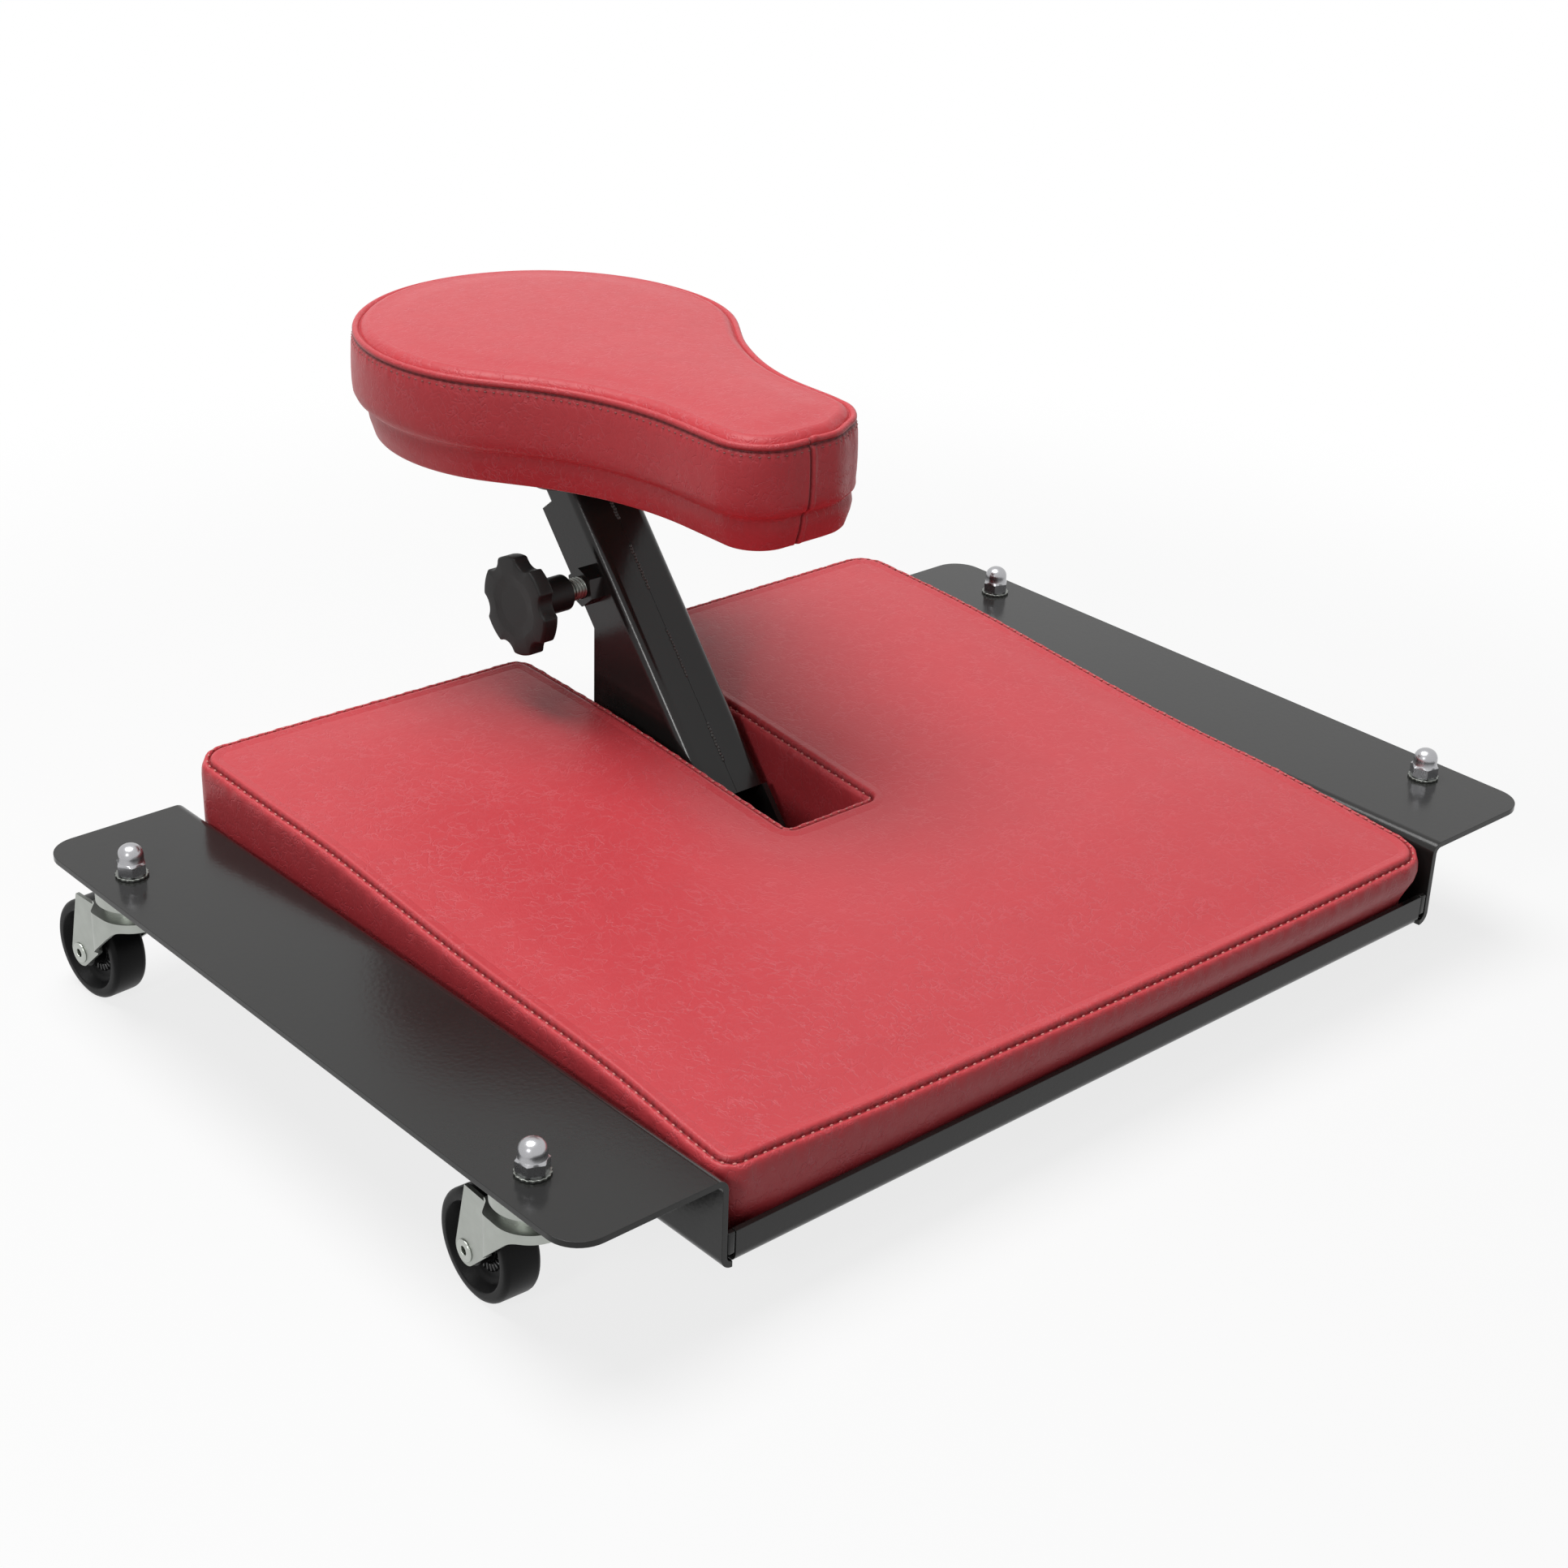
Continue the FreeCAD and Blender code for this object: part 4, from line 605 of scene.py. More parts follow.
def relaxed(values, edges, passes):
    """Values at points, each pass half way to the mean of their neighbours along the edges."""
    first, second = edges.T
    count = np.maximum(np.bincount(edges.ravel(), minlength=len(values)), 1)[:, None]
    for _ in range(passes):
        total = np.zeros_like(values)
        np.add.at(total, first, values[second])
        np.add.at(total, second, values[first])
        values = (values + total / count) / 2
    return values


def swell(piece, share, limit):
    """Swell a cover by cloth pressure, held where its share is 0: some frames of Cloth, and then each point keeps
    limit * tanh(moved / limit) of the way it moved, evened out, times its share."""
    rest = vertices_of(piece.data)
    held = piece.vertex_groups.new(name="held")
    held.add(np.flatnonzero(share <= 0).tolist(), 1.0, "REPLACE")
    cloth = piece.modifiers.new("Cloth", "CLOTH")
    for name, value in CLOTH.items():
        setattr(cloth.settings, name, value)
    cloth.settings.effector_weights.gravity = 0
    cloth.collision_settings.use_collision = False
    cloth.point_cache.frame_start = 1
    cloth.point_cache.frame_end = CLOTH_FRAMES
    scene = bpy.context.scene
    for step in range(1, CLOTH_FRAMES + 1):
        scene.frame_set(step)
    swollen = piece.evaluated_get(bpy.context.evaluated_depsgraph_get())
    moved = vertices_of(swollen.data) - rest
    piece.modifiers.remove(cloth)
    piece.vertex_groups.remove(held)
    scene.frame_set(1)
    edges = np.empty(len(piece.data.edges) * 2, int)
    piece.data.edges.foreach_get("vertices", edges)
    moved = relaxed(moved, edges.reshape(-1, 2), EVENING_PASSES)
    length = np.linalg.norm(moved, axis=1, keepdims=True)
    kept = limit * np.tanh(length / limit) / np.maximum(length, 1e-9) * share[:, None]
    piece.data.vertices.foreach_set("co", (rest + moved * kept).ravel())
    piece.data.update()


def subdivide(piece):
    """One level of subdivision, in the view and in the render."""
    smoother = piece.modifiers.new("Subdivision", "SUBSURF")
    smoother.levels = 1
    smoother.render_levels = 1


def nearest(points, loop):
    """Distance in plan from each point to the nearest point of a loop."""
    return np.min(np.linalg.norm(points[:, None, :2] - loop[None], axis=2), 1)


def split(loop, counts):
    """The sides of a closed loop, by their numbers of steps, each with both its ends."""
    ring = np.concatenate([loop, loop[:1]])
    marks = np.cumsum([0, *counts])
    return [ring[start:end + 1] for start, end in zip(marks, marks[1:])]


def row_values(table, count):
    """A value for each row of a profile, 0 where the table has none."""
    return np.array([table.get(row, 0.0) for row in range(count)])


def stitch_pull(s, total, pitch):
    """Pull of the stitches along a seam: a cosine wave from 0 between two stitches to 1 at each of them."""
    return (0.5 - 0.5 * np.cos(s * round(total / pitch) * FULL_TURN / total))[:, None]


def capsules(centres, along, out, length, width, height, rings=6):
    """Small capsules, one at each centre: length * t / 2 along, and across an ellipse of the width and height times
    sqrt(1 - t^4), in each one's own frame of along, out and their cross product."""
    t = np.linspace(-1, 1, rings)[:, None]
    angle = np.linspace(0, FULL_TURN, rings, endpoint=False)[None, :]
    size = np.sqrt(np.maximum(1 - t ** 4, 0)) / 2
    parts = (length / 2 * t, height * size * np.cos(angle), width * size * np.sin(angle))
    local = np.stack(np.broadcast_arrays(*parts), -1).reshape(-1, 3)
    axes = np.stack([along, out, np.cross(along, out)], 1)
    points = centres[:, None] + np.einsum("vk,skx->svx", local, axes)
    faces = grid_faces(rings, rings, close_columns=True)
    starts = np.arange(len(centres)) * len(local)
    return points.reshape(-1, 3), (faces[None] + starts[:, None, None]).reshape(-1, 4)


def row_of_stitches(path, out, pitch, thread):
    """Stitches along a closed path of points with outward directions, a pitch apart."""
    s, total = run_length(path)
    count = int(round(total / pitch))
    where = (np.arange(count) + 0.5) * total / count
    looped = np.concatenate([s, [total]])

    def look_up(values, at):
        closed = np.concatenate([values, values[:1]])
        return np.stack([np.interp(at % total, looped, closed[:, k]) for k in range(3)], 1)

    reach = 0.5
    along = unit(look_up(path, where + reach) - look_up(path, where - reach))
    outs = look_up(out, where)
    outs = unit(outs - along * (outs * along).sum(1)[:, None])
    return capsules(look_up(path, where), along, outs, pitch * STITCH_LENGTH, thread, thread * STITCH_HEIGHT)


def carried(loop, normal, height, inset, drop):
    """A profile carried round a closed loop: point = loop - normal * inset, at height(x, y) - drop. The profile is
    the same all round, or has one row for each point of the loop."""
    inset = np.broadcast_to(inset, (len(loop), np.shape(inset)[-1]))
    plan = loop[:, None] - normal[:, None] * inset[..., None]
    return np.concatenate([plan, (height(plan[..., 0], plan[..., 1]) - drop)[..., None]], -1)


def level(z):
    """The same height everywhere, for carried."""
    return lambda x, y: np.full(x.shape, z)


def strip_of(points):
    """The quads of rows of points that close on themselves."""
    return points.reshape(-1, 3), grid_faces(*points.shape[:2], close_rows=True)


def gathers(s):
    """Uneven gathering along a seam: three waves of 7 to 19 mm, from -1 to 1."""
    waves = ((0.45, 11.3, 0), (0.35, 18.7, 2), (0.2, 7.1, 1))
    return sum(size * np.sin(s * FULL_TURN / length + phase) for size, length, phase in waves)


# Kneeling pad, in millimetres

PAD_INSET = 8.0
PAD_SIDE = 228.0
PAD_END = 206.0
SLOT_HALF = 26.5
SLOT_LENGTH = 218.0

# Radii of the pad's corners, anticlockwise from the front left
PAD_RADII = (12, 21, 18, 12, 2.5, 2.5, 12, 18)

# Rise of the cover over the wings at each knee, and how far it lifts, sags, droops and hangs over the lip
KNEES = np.array([-250.0, -PAD_END, -25.0, 115.0, PAD_END, 250.0])
RISES = np.array([1.6, 3.4, 10.5, 23.5, 26.6, 27.6])
REAR_LIFT = 2.4
FRONT_SAG = 2.4
FRONT_DROOP = 5.8
LEFT_EASE = 2.2
OVERHANG = 6.0

# Cells across a leg and the slot, then from the front to the slot's end and on to the rear
LEG, SLOT, FRONT, REAR = 40, 11, 38, 43
ACROSS, DEEP = 2 * LEG + SLOT, FRONT + REAR
PAD_COUNTS = [ACROSS, DEEP, LEG, REAR, SLOT, REAR, LEG, DEEP]


def pad_corners():
    """The pad's plan: a rounded rectangle with a slot open to the rear."""
    (left, front, _), (right, rear, _) = PAD_LOW, PAD_HIGH
    end = rear - SLOT_LENGTH
    x = [left, right, right, SLOT_HALF, SLOT_HALF, -SLOT_HALF, -SLOT_HALF, left]
    y = [front, front, rear, rear, end, end, rear, rear]
    return np.stack([x, y, PAD_RADII], 1)


def pad_top(x, y):
    """Height of the pad's cover: straight slopes between knees, averaged over 70 mm, higher at the rear left, drooping
    along its front edge, and sagging a little at the middle of that edge."""
    local = y - TRAY_MIDDLE
    spread = np.linspace(-35, 35, 15)
    rise = np.mean([np.interp(local + shift, KNEES, RISES) for shift in spread], 0)
    lift = REAR_LIFT * smooth_step(local, 120, PAD_END) * smooth_step(-x, 30, PAD_SIDE)
    sag = FRONT_SAG * (1 - np.clip(x / 205, -1, 1) ** 2) * smooth_step(-local, 168, PAD_END)
    droop = (FRONT_DROOP - LEFT_EASE * smooth_step(-x, 130, PAD_SIDE)) * smooth_step(-local, 90, PAD_END)
    return WING_TOP + rise + lift - sag - droop


def pad_bulge(plan):
    """How far the pad's front edge hangs over the tray's lip, more towards the right."""
    x, y = plan[:, 0], plan[:, 1] - TRAY_MIDDLE
    return OVERHANG * smooth_step(x, -PAD_SIDE, 190) * smooth_step(-y, 170, PAD_END)


def pad_slack(plan):
    """The cover sits further out at its sides near the corners, and hangs over the lip along its front."""
    x, y = plan[:, 0], plan[:, 1] - TRAY_MIDDLE
    right = 4.2 * smooth_step(x, 120, PAD_SIDE) * smooth_step(-y, 60, 200)
    left = smooth_step(-x, 120, PAD_SIDE) * (4.0 * smooth_step(y, 70, 200) + 2.5 * smooth_step(-y, 120, 200))
    return plan + np.stack([right - left, -pad_bulge(plan)], 1)


def pad_loop(counts):
    """Points round the pad's edge, side by side, with their outward normals."""
    sides = [resample(side, count)[:-1] for side, count in zip(rounded_sides(pad_corners()), counts)]
    loop = pad_slack(np.concatenate(sides))
    return loop, outward(loop)


def pad_panel(edge):
    """The pad's top as five filled grids round the slot, from the points of its edge. Hands back the grid of
    points and the quads that lie on the pad."""
    c1, c2, c3 = LEG, LEG + SLOT, ACROSS
    r1, r2 = FRONT, DEEP
    side = split(edge, PAD_COUNTS)
    grid = np.zeros((c3 + 1, r2 + 1, 2))
    grid[:, 0] = side[0]
    grid[c3, :] = side[1]
    grid[c2:, r2] = side[2][::-1]
    grid[c2, r1:] = side[3][::-1]
    grid[c1:c2 + 1, r1] = side[4][::-1]
    grid[c1, r1:] = side[5]
    grid[:c1 + 1, r2] = side[6][::-1]
    grid[0, :] = side[7][::-1]
    up = np.linspace(0, 1, r1 + 1)[:, None]
    over = np.linspace(0, 1, c1 + 1)[:, None]
    for column in (c1, c2):
        grid[column, :r1 + 1] = (1 - up) * grid[column, 0] + up * grid[column, r1]
    grid[:c1 + 1, r1] = (1 - over) * grid[0, r1] + over * grid[c1, r1]
    grid[c2:, r1] = (1 - over) * grid[c2, r1] + over * grid[c3, r1]
    blocks = ((0, c1, 0, r1), (c1, c2, 0, r1), (c2, c3, 0, r1), (0, c1, r1, r2), (c2, c3, r1, r2))
    for left, right, low, high in blocks:
        block = (slice(left, right + 1), slice(low, high + 1))
        grid[block] = coons(grid[block])
    quads = grid_faces(c3 + 1, r2 + 1).reshape(c3, r2, 4)
    on_pad = np.ones((c3, r2), bool)
    on_pad[c1:c2, r1:] = False
    return grid.reshape(-1, 2), quads[on_pad]


def only_used(points, faces):
    """Leave out the points that no face uses."""
    used, numbers = np.unique(faces, return_inverse=True)
    return points[used], numbers.reshape(faces.shape)


class STOOL_OT_kneeling_pad(bpy.types.Operator):
    """Build the kneeling pad: a swollen cover with its sewn edge"""

    bl_idname = "stool.kneeling_pad"
    bl_label = "Kneeling Pad"

    # Cover and seam as (inset from the side, drop below the top)
    COVER = np.array([(8.0, 0.4), (6.8, 1.3), (5.6, 2.8), (4.6, 4.4), (3.6, 5.6), (2.6, 6.8), (1.8, 8.4), (1.4, 11.0)])
    SEAM = np.array([
        (11.5, 0.55), (10.2, 0.14), (9.0, 0.0), (7.9, -0.15), (7.0, -0.33), (6.2, -0.4), (5.6, -0.28), (5.1, 0.05),
        (4.7, 0.5), (4.4, 1.0), (4.2, 1.6), (4.05, 2.2), (3.85, 2.7), (3.6, 2.35), (3.3, 2.0), (2.9, 1.75),
        (2.4, 1.65), (1.85, 1.75), (1.3, 2.1), (0.8, 2.7), (0.4, 3.6), (0.1, 4.9), (-0.1, 6.5), (-0.25, 8.6)])

    # Rows of the seam from the first: depth of the puckers by stitch and by gathering, painted shade in the crease, and
    # how far the band comes up
    PINCH = {11: 0.1, 12: 0.1, 13: 0.2, 14: 0.35, 15: 0.4, 16: 0.3, 17: 0.15, 18: 0.05}
    GATHER = {15: 0.05, 16: 0.1, 17: 0.15, 18: 0.2, 19: 0.28, 20: 0.3, 21: 0.25, 22: 0.15, 23: 0.05}
    CREASE_SHADE = {7: 0.1, 8: 0.35, 9: 0.6, 10: 0.8, 11: 1, 12: 1, 13: 0.8, 14: 0.4, 15: 0.15, 16: 0.05}
    LIFT = {11: 0.1, 12: 0.3, 13: 0.6, 14: 0.85, 15: 1, 16: 1, 17: 1, 18: 0.9, 19: 0.7, 20: 0.4, 21: 0.15}
    STITCH_AT = 15
    EDGE_LIFT = 1.4

    # Rows of the side as shares of the way down
    BAND = np.array([0.15, 0.35, 0.55, 0.75, 0.9, 0.98])

    # How far the side is drawn in at its foot: all round, and further at the left and right front corners
    DRAWN, LEFT_DRAWN, RIGHT_DRAWN = 1.2, 6.0, 1.5

    # Foot of the seam's band and of the fold under it over the tray's floor, and how much further in the fold goes
    HEM, FOLD, FOLD_INSET = 0.6, 0.3, 3

    def execute(self, context):
        sizes = context.scene.stool_sizes
        loop, normal = pad_loop(PAD_COUNTS)
        floor = PAD_LOW[2]
        flat, quads = pad_panel(loop - normal * PAD_INSET)
        inset, drop = self.COVER.T
        gap = nearest(flat, loop[::2])
        dip = drop[0] - (drop[0] - 0.05) * smooth_step(gap, PAD_INSET, PAD_INSET + 4)
        cover = only_used(np.column_stack([flat, pad_top(*flat.T) - dip]), quads)
        base = only_used(np.column_stack([flat, np.full(len(flat), floor)]), quads)
        upper = carried(loop, normal, pad_top, inset, drop)
        band = self.band(loop, normal, upper[:, -1, 2], floor, inset[-1])
        foot = carried(loop, normal, level(floor), np.array([PAD_INSET]), np.zeros(1))
        rings = np.concatenate([upper, band, foot], 1)
        pad = new_piece("pad_cover", joined(cover, strip_of(rings), base), "vinyl", "base", ["kneeling_pad"])
        place = vertices_of(pad.data) / MM
        depth = nearest(place, loop[::2])
        share = smooth_step(depth, PAD_INSET + 2, 36) * (place[:, 2] > WING_TOP - 8)
        swell(pad, share, sizes.pad_swell)
        subdivide(pad)
        self.sew(sizes)
        return {"FINISHED"}

    def band(self, loop, normal, start, end, inset):
        """The pad's side from one height to another: drawn in with the square of the way down, further at the two
        front corners, and back under any bulge. The slot's sides stay straight."""
        share = self.BAND
        x, forward = loop[:, 0], TRAY_MIDDLE - loop[:, 1]
        corner = smooth_step(np.abs(x), 195, PAD_SIDE) * smooth_step(forward, 170, PAD_END)
        corner = corner * np.where(x < 0, self.LEFT_DRAWN, self.RIGHT_DRAWN)
        under = pad_bulge(loop)[:, None] * smooth_step(share, 0, 0.62)
        sides = np.maximum(smooth_step(np.abs(x), SLOT_HALF, SLOT_HALF + 12), smooth_step(forward, 60, 120))
        drawn = inset + (self.DRAWN * sides + corner)[:, None] * share ** 2 + under
        plan = loop[:, None] - normal[:, None] * drawn[..., None]
        z = start[:, None] * (1 - share) + end * share
        return np.concatenate([plan, z[..., None]], -1)

    def sew(self, sizes):
        """The seam inside the top edge: the panel rolls into a crease, the band comes up over the edge to meet it,
        and a stitch lies in each pucker beside the crease."""
        loop, normal = pad_loop([count * SEAM_STEPS for count in PAD_COUNTS])
        s, total = run_length(loop)
        pitch = sizes.pad_stitch / MM
        pull = stitch_pull(s, total, pitch)
        pinch, gather, crease, lift = (row_values(table, len(self.SEAM))
                                       for table in (self.PINCH, self.GATHER, self.CREASE_SHADE, self.LIFT))
        gathered = gather * gathers(s)[:, None]
        inset, drop = self.SEAM.T
        lift = self.EDGE_LIFT * smooth_step(normal.sum(1), -0.3, 0.5)[:, None] * lift
        edge = carried(loop, normal, pad_top, inset + gathered, drop + pinch * pull + gathered - lift)
        start, floor = edge[:, -1, 2], PAD_LOW[2]
        band = self.band(loop, normal, start, floor + self.HEM, inset[-1])
        fold = self.band(loop, normal, start, floor + self.FOLD, inset[-1] + self.FOLD_INSET)[:, -1:]
        sewn = np.concatenate([edge, band, fold], 1)
        # Painted shade: the crease rows are darkened, a little less at each stitch, for the shade deep in the crease.
        dark = np.zeros(sewn.shape[:2])
        dark[:, :edge.shape[1]] = crease * (0.95 - 0.4 * pull)
        new_piece("pad_seam", strip_of(sewn), "vinyl", "base", crease=dark)
        at = slice(self.STITCH_AT, self.STITCH_AT + 1)
        path = carried(loop, normal, pad_top, inset[at], drop[at] + 0.05 - lift[:, at])[:, 0]
        out = np.column_stack([normal * 0.45, np.full(len(normal), 0.9)])
        new_piece("pad_stitches", row_of_stitches(path, out, pitch, sizes.thread / MM), "thread", "base")


# Saddle, in millimetres: the seam's height, the panel's inset, and the place of the band's join

SEAT_SEAM = 279.5
SEAT_INSET = 9.0
BAND_JOIN = -7.8

# How much fuller the cover is at the right flank and blunter at the nose's right corner, sideways and lengthways, how
# far the rear is tucked in, and the share of this slack that the skirt loses
FULLER = 2.0
BLUNTER = (2.2, 5.5)
REAR_TUCK = 2.0
SKIRT_FIT = 0.75

# Cells along the nose, the right side, the rear and the left side
SEAT_COUNTS = [34, 84, 34, 84]


def saddle_slack(plan, nose):
    """The cover is rounder at the nose's right corner and a little fuller at the right flank."""
    x, y = plan[:, 0], plan[:, 1] - nose
    blunt = smooth_step(x, 6, 28) * (1 - smooth_step(y, 8, 46))
    full = smooth_step(x, 30, 60) * smooth_step(y, 60, 120) * (1 - smooth_step(y, 170, 240))
    return plan + np.stack([FULLER * full - BLUNTER[0] * blunt, BLUNTER[1] * blunt], 1)


def saddle_loop(counts):
    """Points round the saddle's seam, anticlockwise from the left of the nose: a blunt nose with round corners,
    hollow sides, straight flanks and a round rear, split into nose, right side, rear and left side."""
    nose, rear = SEAT_LOW[1], SEAT_HIGH[1]
    radius, neck, corner, half = 99.5, 150.0, 27.0, 43.5
    slope = math.radians(35.0)
    middle = rear - radius
    flank_top = np.array([radius * math.cos(slope), middle - radius * math.sin(slope)])
    along = np.array([-math.sin(slope), -math.cos(slope)])
    cross = flank_top + along * ((flank_top[0] - half) / math.sin(slope))
    run = neck * math.tan(slope / 2)
    neck_centre = cross + np.array([neck, -run])
    steps = np.linspace(0, 1, 60)[:, None]
    quarter = math.pi / 2

    def arc(centre, size, start, end):
        angle = start + (end - start) * steps
        return np.asarray(centre) + size * np.concatenate([np.cos(angle), np.sin(angle)], 1)

    right = np.concatenate([
        arc((half - corner, nose + corner), corner, -quarter / 2, 0),
        arc(neck_centre, neck, math.pi, math.pi - slope),
        arc((0, middle), radius, -slope, quarter / 2),
    ])
    half_nose = np.concatenate([[[0, nose]], arc((half - corner, nose + corner), corner, -quarter, -quarter / 2)])
    half_rear = arc((0, middle), radius, quarter / 2, quarter)
    flip = np.array([-1, 1])
    whole_nose = np.concatenate([half_nose[::-1] * flip, half_nose[1:]])
    whole_rear = np.concatenate([half_rear, half_rear[::-1][1:] * flip])
    sides = [whole_nose, right, whole_rear, right[::-1] * flip]
    loop = np.concatenate([resample(side, count)[:-1] for side, count in zip(sides, counts)])
    return loop, saddle_slack(loop, nose), outward(loop)


def saddle_rings(counts, inset, drop, tucked):
    """A profile carried round the saddle's seam. The cover's slack is whole in the band and fades into the skirt, and
    the tucked rows are drawn in further towards the rear."""
    tight, slack, normal = saddle_loop(counts)
    back = smooth_step(tight[:, 1:] - SEAT_LOW[1], 120, 260)
    inset = inset + REAR_TUCK * back * tucked
    whole = carried(slack, outward(slack), level(SEAT_SEAM), inset, drop)
    fitted = carried(tight, normal, level(SEAT_SEAM), inset, drop)
    share = (1 - SKIRT_FIT * smooth_step(np.asarray(drop), 30, 42))[..., None]
    return whole * share + fitted * (1 - share)


def seat_panel(edge):
    """The saddle's top as one filled grid between nose, sides and rear."""
    end, side = SEAT_COUNTS[:2]
    parts = split(edge, SEAT_COUNTS)
    grid = np.zeros((end + 1, side + 1, 2))
    grid[:, 0] = parts[0]
    grid[-1, :] = parts[1]
    grid[:, -1] = parts[2][::-1]
    grid[0, :] = parts[3][::-1]
    return coons(grid).reshape(-1, 2), grid_faces(end + 1, side + 1)


class STOOL_OT_saddle(bpy.types.Operator):
    """Build the saddle: a crowned top, a welt, a sewn band with its join, a drawn-in skirt and a stapled hem"""

    bl_idname = "stool.saddle"
    bl_label = "Saddle"

    # Padding as (inset from the seam's outline, drop below the seam, share of the rear's tuck)
    PADDING = np.array([
        (9.0, -3.4, 0), (7.8, -2.7, 0), (6.6, -1.8, 0), (5.4, -0.6, 0), (4.4, 0.8, 0), (3.4, 2.4, 0), (2.2, 3.6, 0),
        (1.2, 5.0, 0), (0.6, 8.0, 0), (0.3, 14.0, 0), (0.1, 21.0, 0), (0.2, 27.0, 0), (0.6, 31.0, 0),
        (1.4, 34.0, 0.3), (3.4, 36.4, 0.8), (5.2, 38.0, 1), (5.6, 42.0, 1), (6.2, 46.0, 1), (7.6, 50.0, 1),
        (9.2, 53.4, 1), (10.4, 54.3, 1), (12.0, 54.5, 1), (20.0, 54.5, 0), (20.5, 54.35, 0), (20.5, 54.02, 0),
        (12.7, 54.02, 0), (12.7, 39.3, 0)])

    # Sewn cover in the same way, from the top's edge over the welt, the band and the skirt to the hem
    SEWN = np.array([
        (11.0, -3.1, 0), (9.6, -3.45, 0), (8.2, -3.3, 0), (6.9, -2.85, 0), (5.8, -2.2, 0), (4.9, -1.45, 0),
        (4.2, -0.6, 0), (3.75, 0.2, 0), (3.45, 0.6, 0), (3.15, 0.1, 0), (2.75, -0.45, 0), (2.15, -0.95, 0),
        (1.4, -1.2, 0), (0.65, -1.05, 0), (0.05, -0.55, 0), (-0.3, 0.2, 0), (-0.3, 0.95, 0), (0.05, 1.6, 0),
        (1.0, 2.2, 0), (0.4, 2.6, 0), (-0.15, 3.05, 0), (-0.55, 3.7, 0), (-0.7, 4.5, 0), (-0.75, 5.3, 0),
        (-0.95, 6.4, 0), (-1.1, 8.0, 0), (-1.3, 11.5, 0), (-1.45, 15.0, 0), (-1.55, 21.0, 0), (-1.4, 27.0, 0),
        (-1.05, 31.0, 0), (-0.4, 33.6, 0.3), (0.8, 35.2, 0.6), (2.6, 36.2, 0.8), (3.6, 37.2, 1), (4.0, 38.8, 1),
        (4.2, 42.0, 1), (4.9, 46.0, 1), (6.2, 50.0, 1), (7.0, 52.6, 1), (7.4, 53.8, 1), (7.9, 54.4, 1), (8.8, 54.72, 1),
        (11.0, 54.78, 1), (20.3, 54.78, 0), (20.9, 54.5, 0), (20.9, 54.1, 0)])

    # Rows of the welt, of the band and of the stitches
    WELT = slice(9, 18)
    BAND = slice(19, None)
    STITCH_AT = 22

    # Groove, lip, overlap and far lip of the band's join, as (distance from its middle, width)
    JOIN = ((0, 0.75), (1.9, 1.3), (3.0, 2.4), (-1.6, 1.0))

    # Rows of the sewn cover from the first: painted shade in the creases, and depth of the puckers by stitch and by
    # gathering
    CREASE_SHADE = {7: 0.2, 8: 0.5, 9: 0.2, 16: 0.1, 17: 0.6, 18: 1.0, 19: 1.0, 20: 0.6, 21: 0.2, 34: 0.15,
              35: 0.25, 36: 0.1}
    PINCH = {19: 0.1, 20: 0.2, 21: 0.3, 22: 0.35, 23: 0.2, 24: 0.1}
    GATHER = {3: 0.1, 4: 0.18, 5: 0.18, 6: 0.1, 19: 0.1, 20: 0.15, 21: 0.2, 22: 0.2, 23: 0.2, 24: 0.18, 25: 0.1}

    def execute(self, context):
        sizes = context.scene.stool_sizes
        inset, drop, tucked = self.PADDING.T
        rings = saddle_rings(SEAT_COUNTS, inset, drop, tucked)
        loop = saddle_loop(SEAT_COUNTS)[1]
        flat, quads = seat_panel(rings[:, 0, :2])
        inner, _ = seat_panel(rings[:, -1, :2])
        crown = 1.4 * smooth_step(nearest(flat, loop), SEAT_INSET + 1, 30) - drop[0]
        top = (np.column_stack([flat, SEAT_SEAM + crown]), quads)
        under = (np.column_stack([inner, np.full(len(inner), SEAT_SEAM - drop[-1])]), quads)
        saddle = new_piece("saddle_cover", joined(top, strip_of(rings), under), "vinyl", "seat",
                           ["seat_cushion"])
        place = vertices_of(saddle.data) / MM
        share = smooth_step(nearest(place, loop), SEAT_INSET + 2, 34) * (place[:, 2] > SEAT_SEAM)
        swell(saddle, share, sizes.seat_swell)
        subdivide(saddle)
        self.sew(sizes)
        return {"FINISHED"}

    def sew(self, sizes):
        """The sewn cover: a welt between two creases round the top, puckers with a stitch in each below it, and at the
        nose the band's own join, a groove with a lip on either side."""
        counts = [count * SEAM_STEPS for count in SEAT_COUNTS]
        loop = saddle_loop(counts)[1]
        s, total = run_length(loop)
        pitch = sizes.seat_stitch / MM
        pull = stitch_pull(s, total, pitch)
        front = loop[:, 1] < loop[:, 1].min() + 12
        at = np.flatnonzero(front)[np.argmin(np.abs(loop[front, 0] - BAND_JOIN))]
        away = (s - s[at])[:, None]
        groove, lip, overlap, far_lip = (np.exp(-((away - middle) / width) ** 2) for middle, width in self.JOIN)
        pinch, gather, crease = (row_values(table, len(self.SEWN)) for table in (self.PINCH, self.GATHER, self.CREASE_SHADE))
        inset, drop, tucked = self.SEWN.T
        insets = inset + pinch * pull + gather * gathers(s)[:, None]
        insets[:, self.BAND] += 1.5 * groove - 0.5 * lip - 0.25 * far_lip
        insets[:, self.WELT] += 0.9 * groove - 0.3 * overlap
        drops = np.repeat(drop[None], len(loop), 0)
        drops[:, self.WELT] += 0.7 * groove - 0.7 * overlap
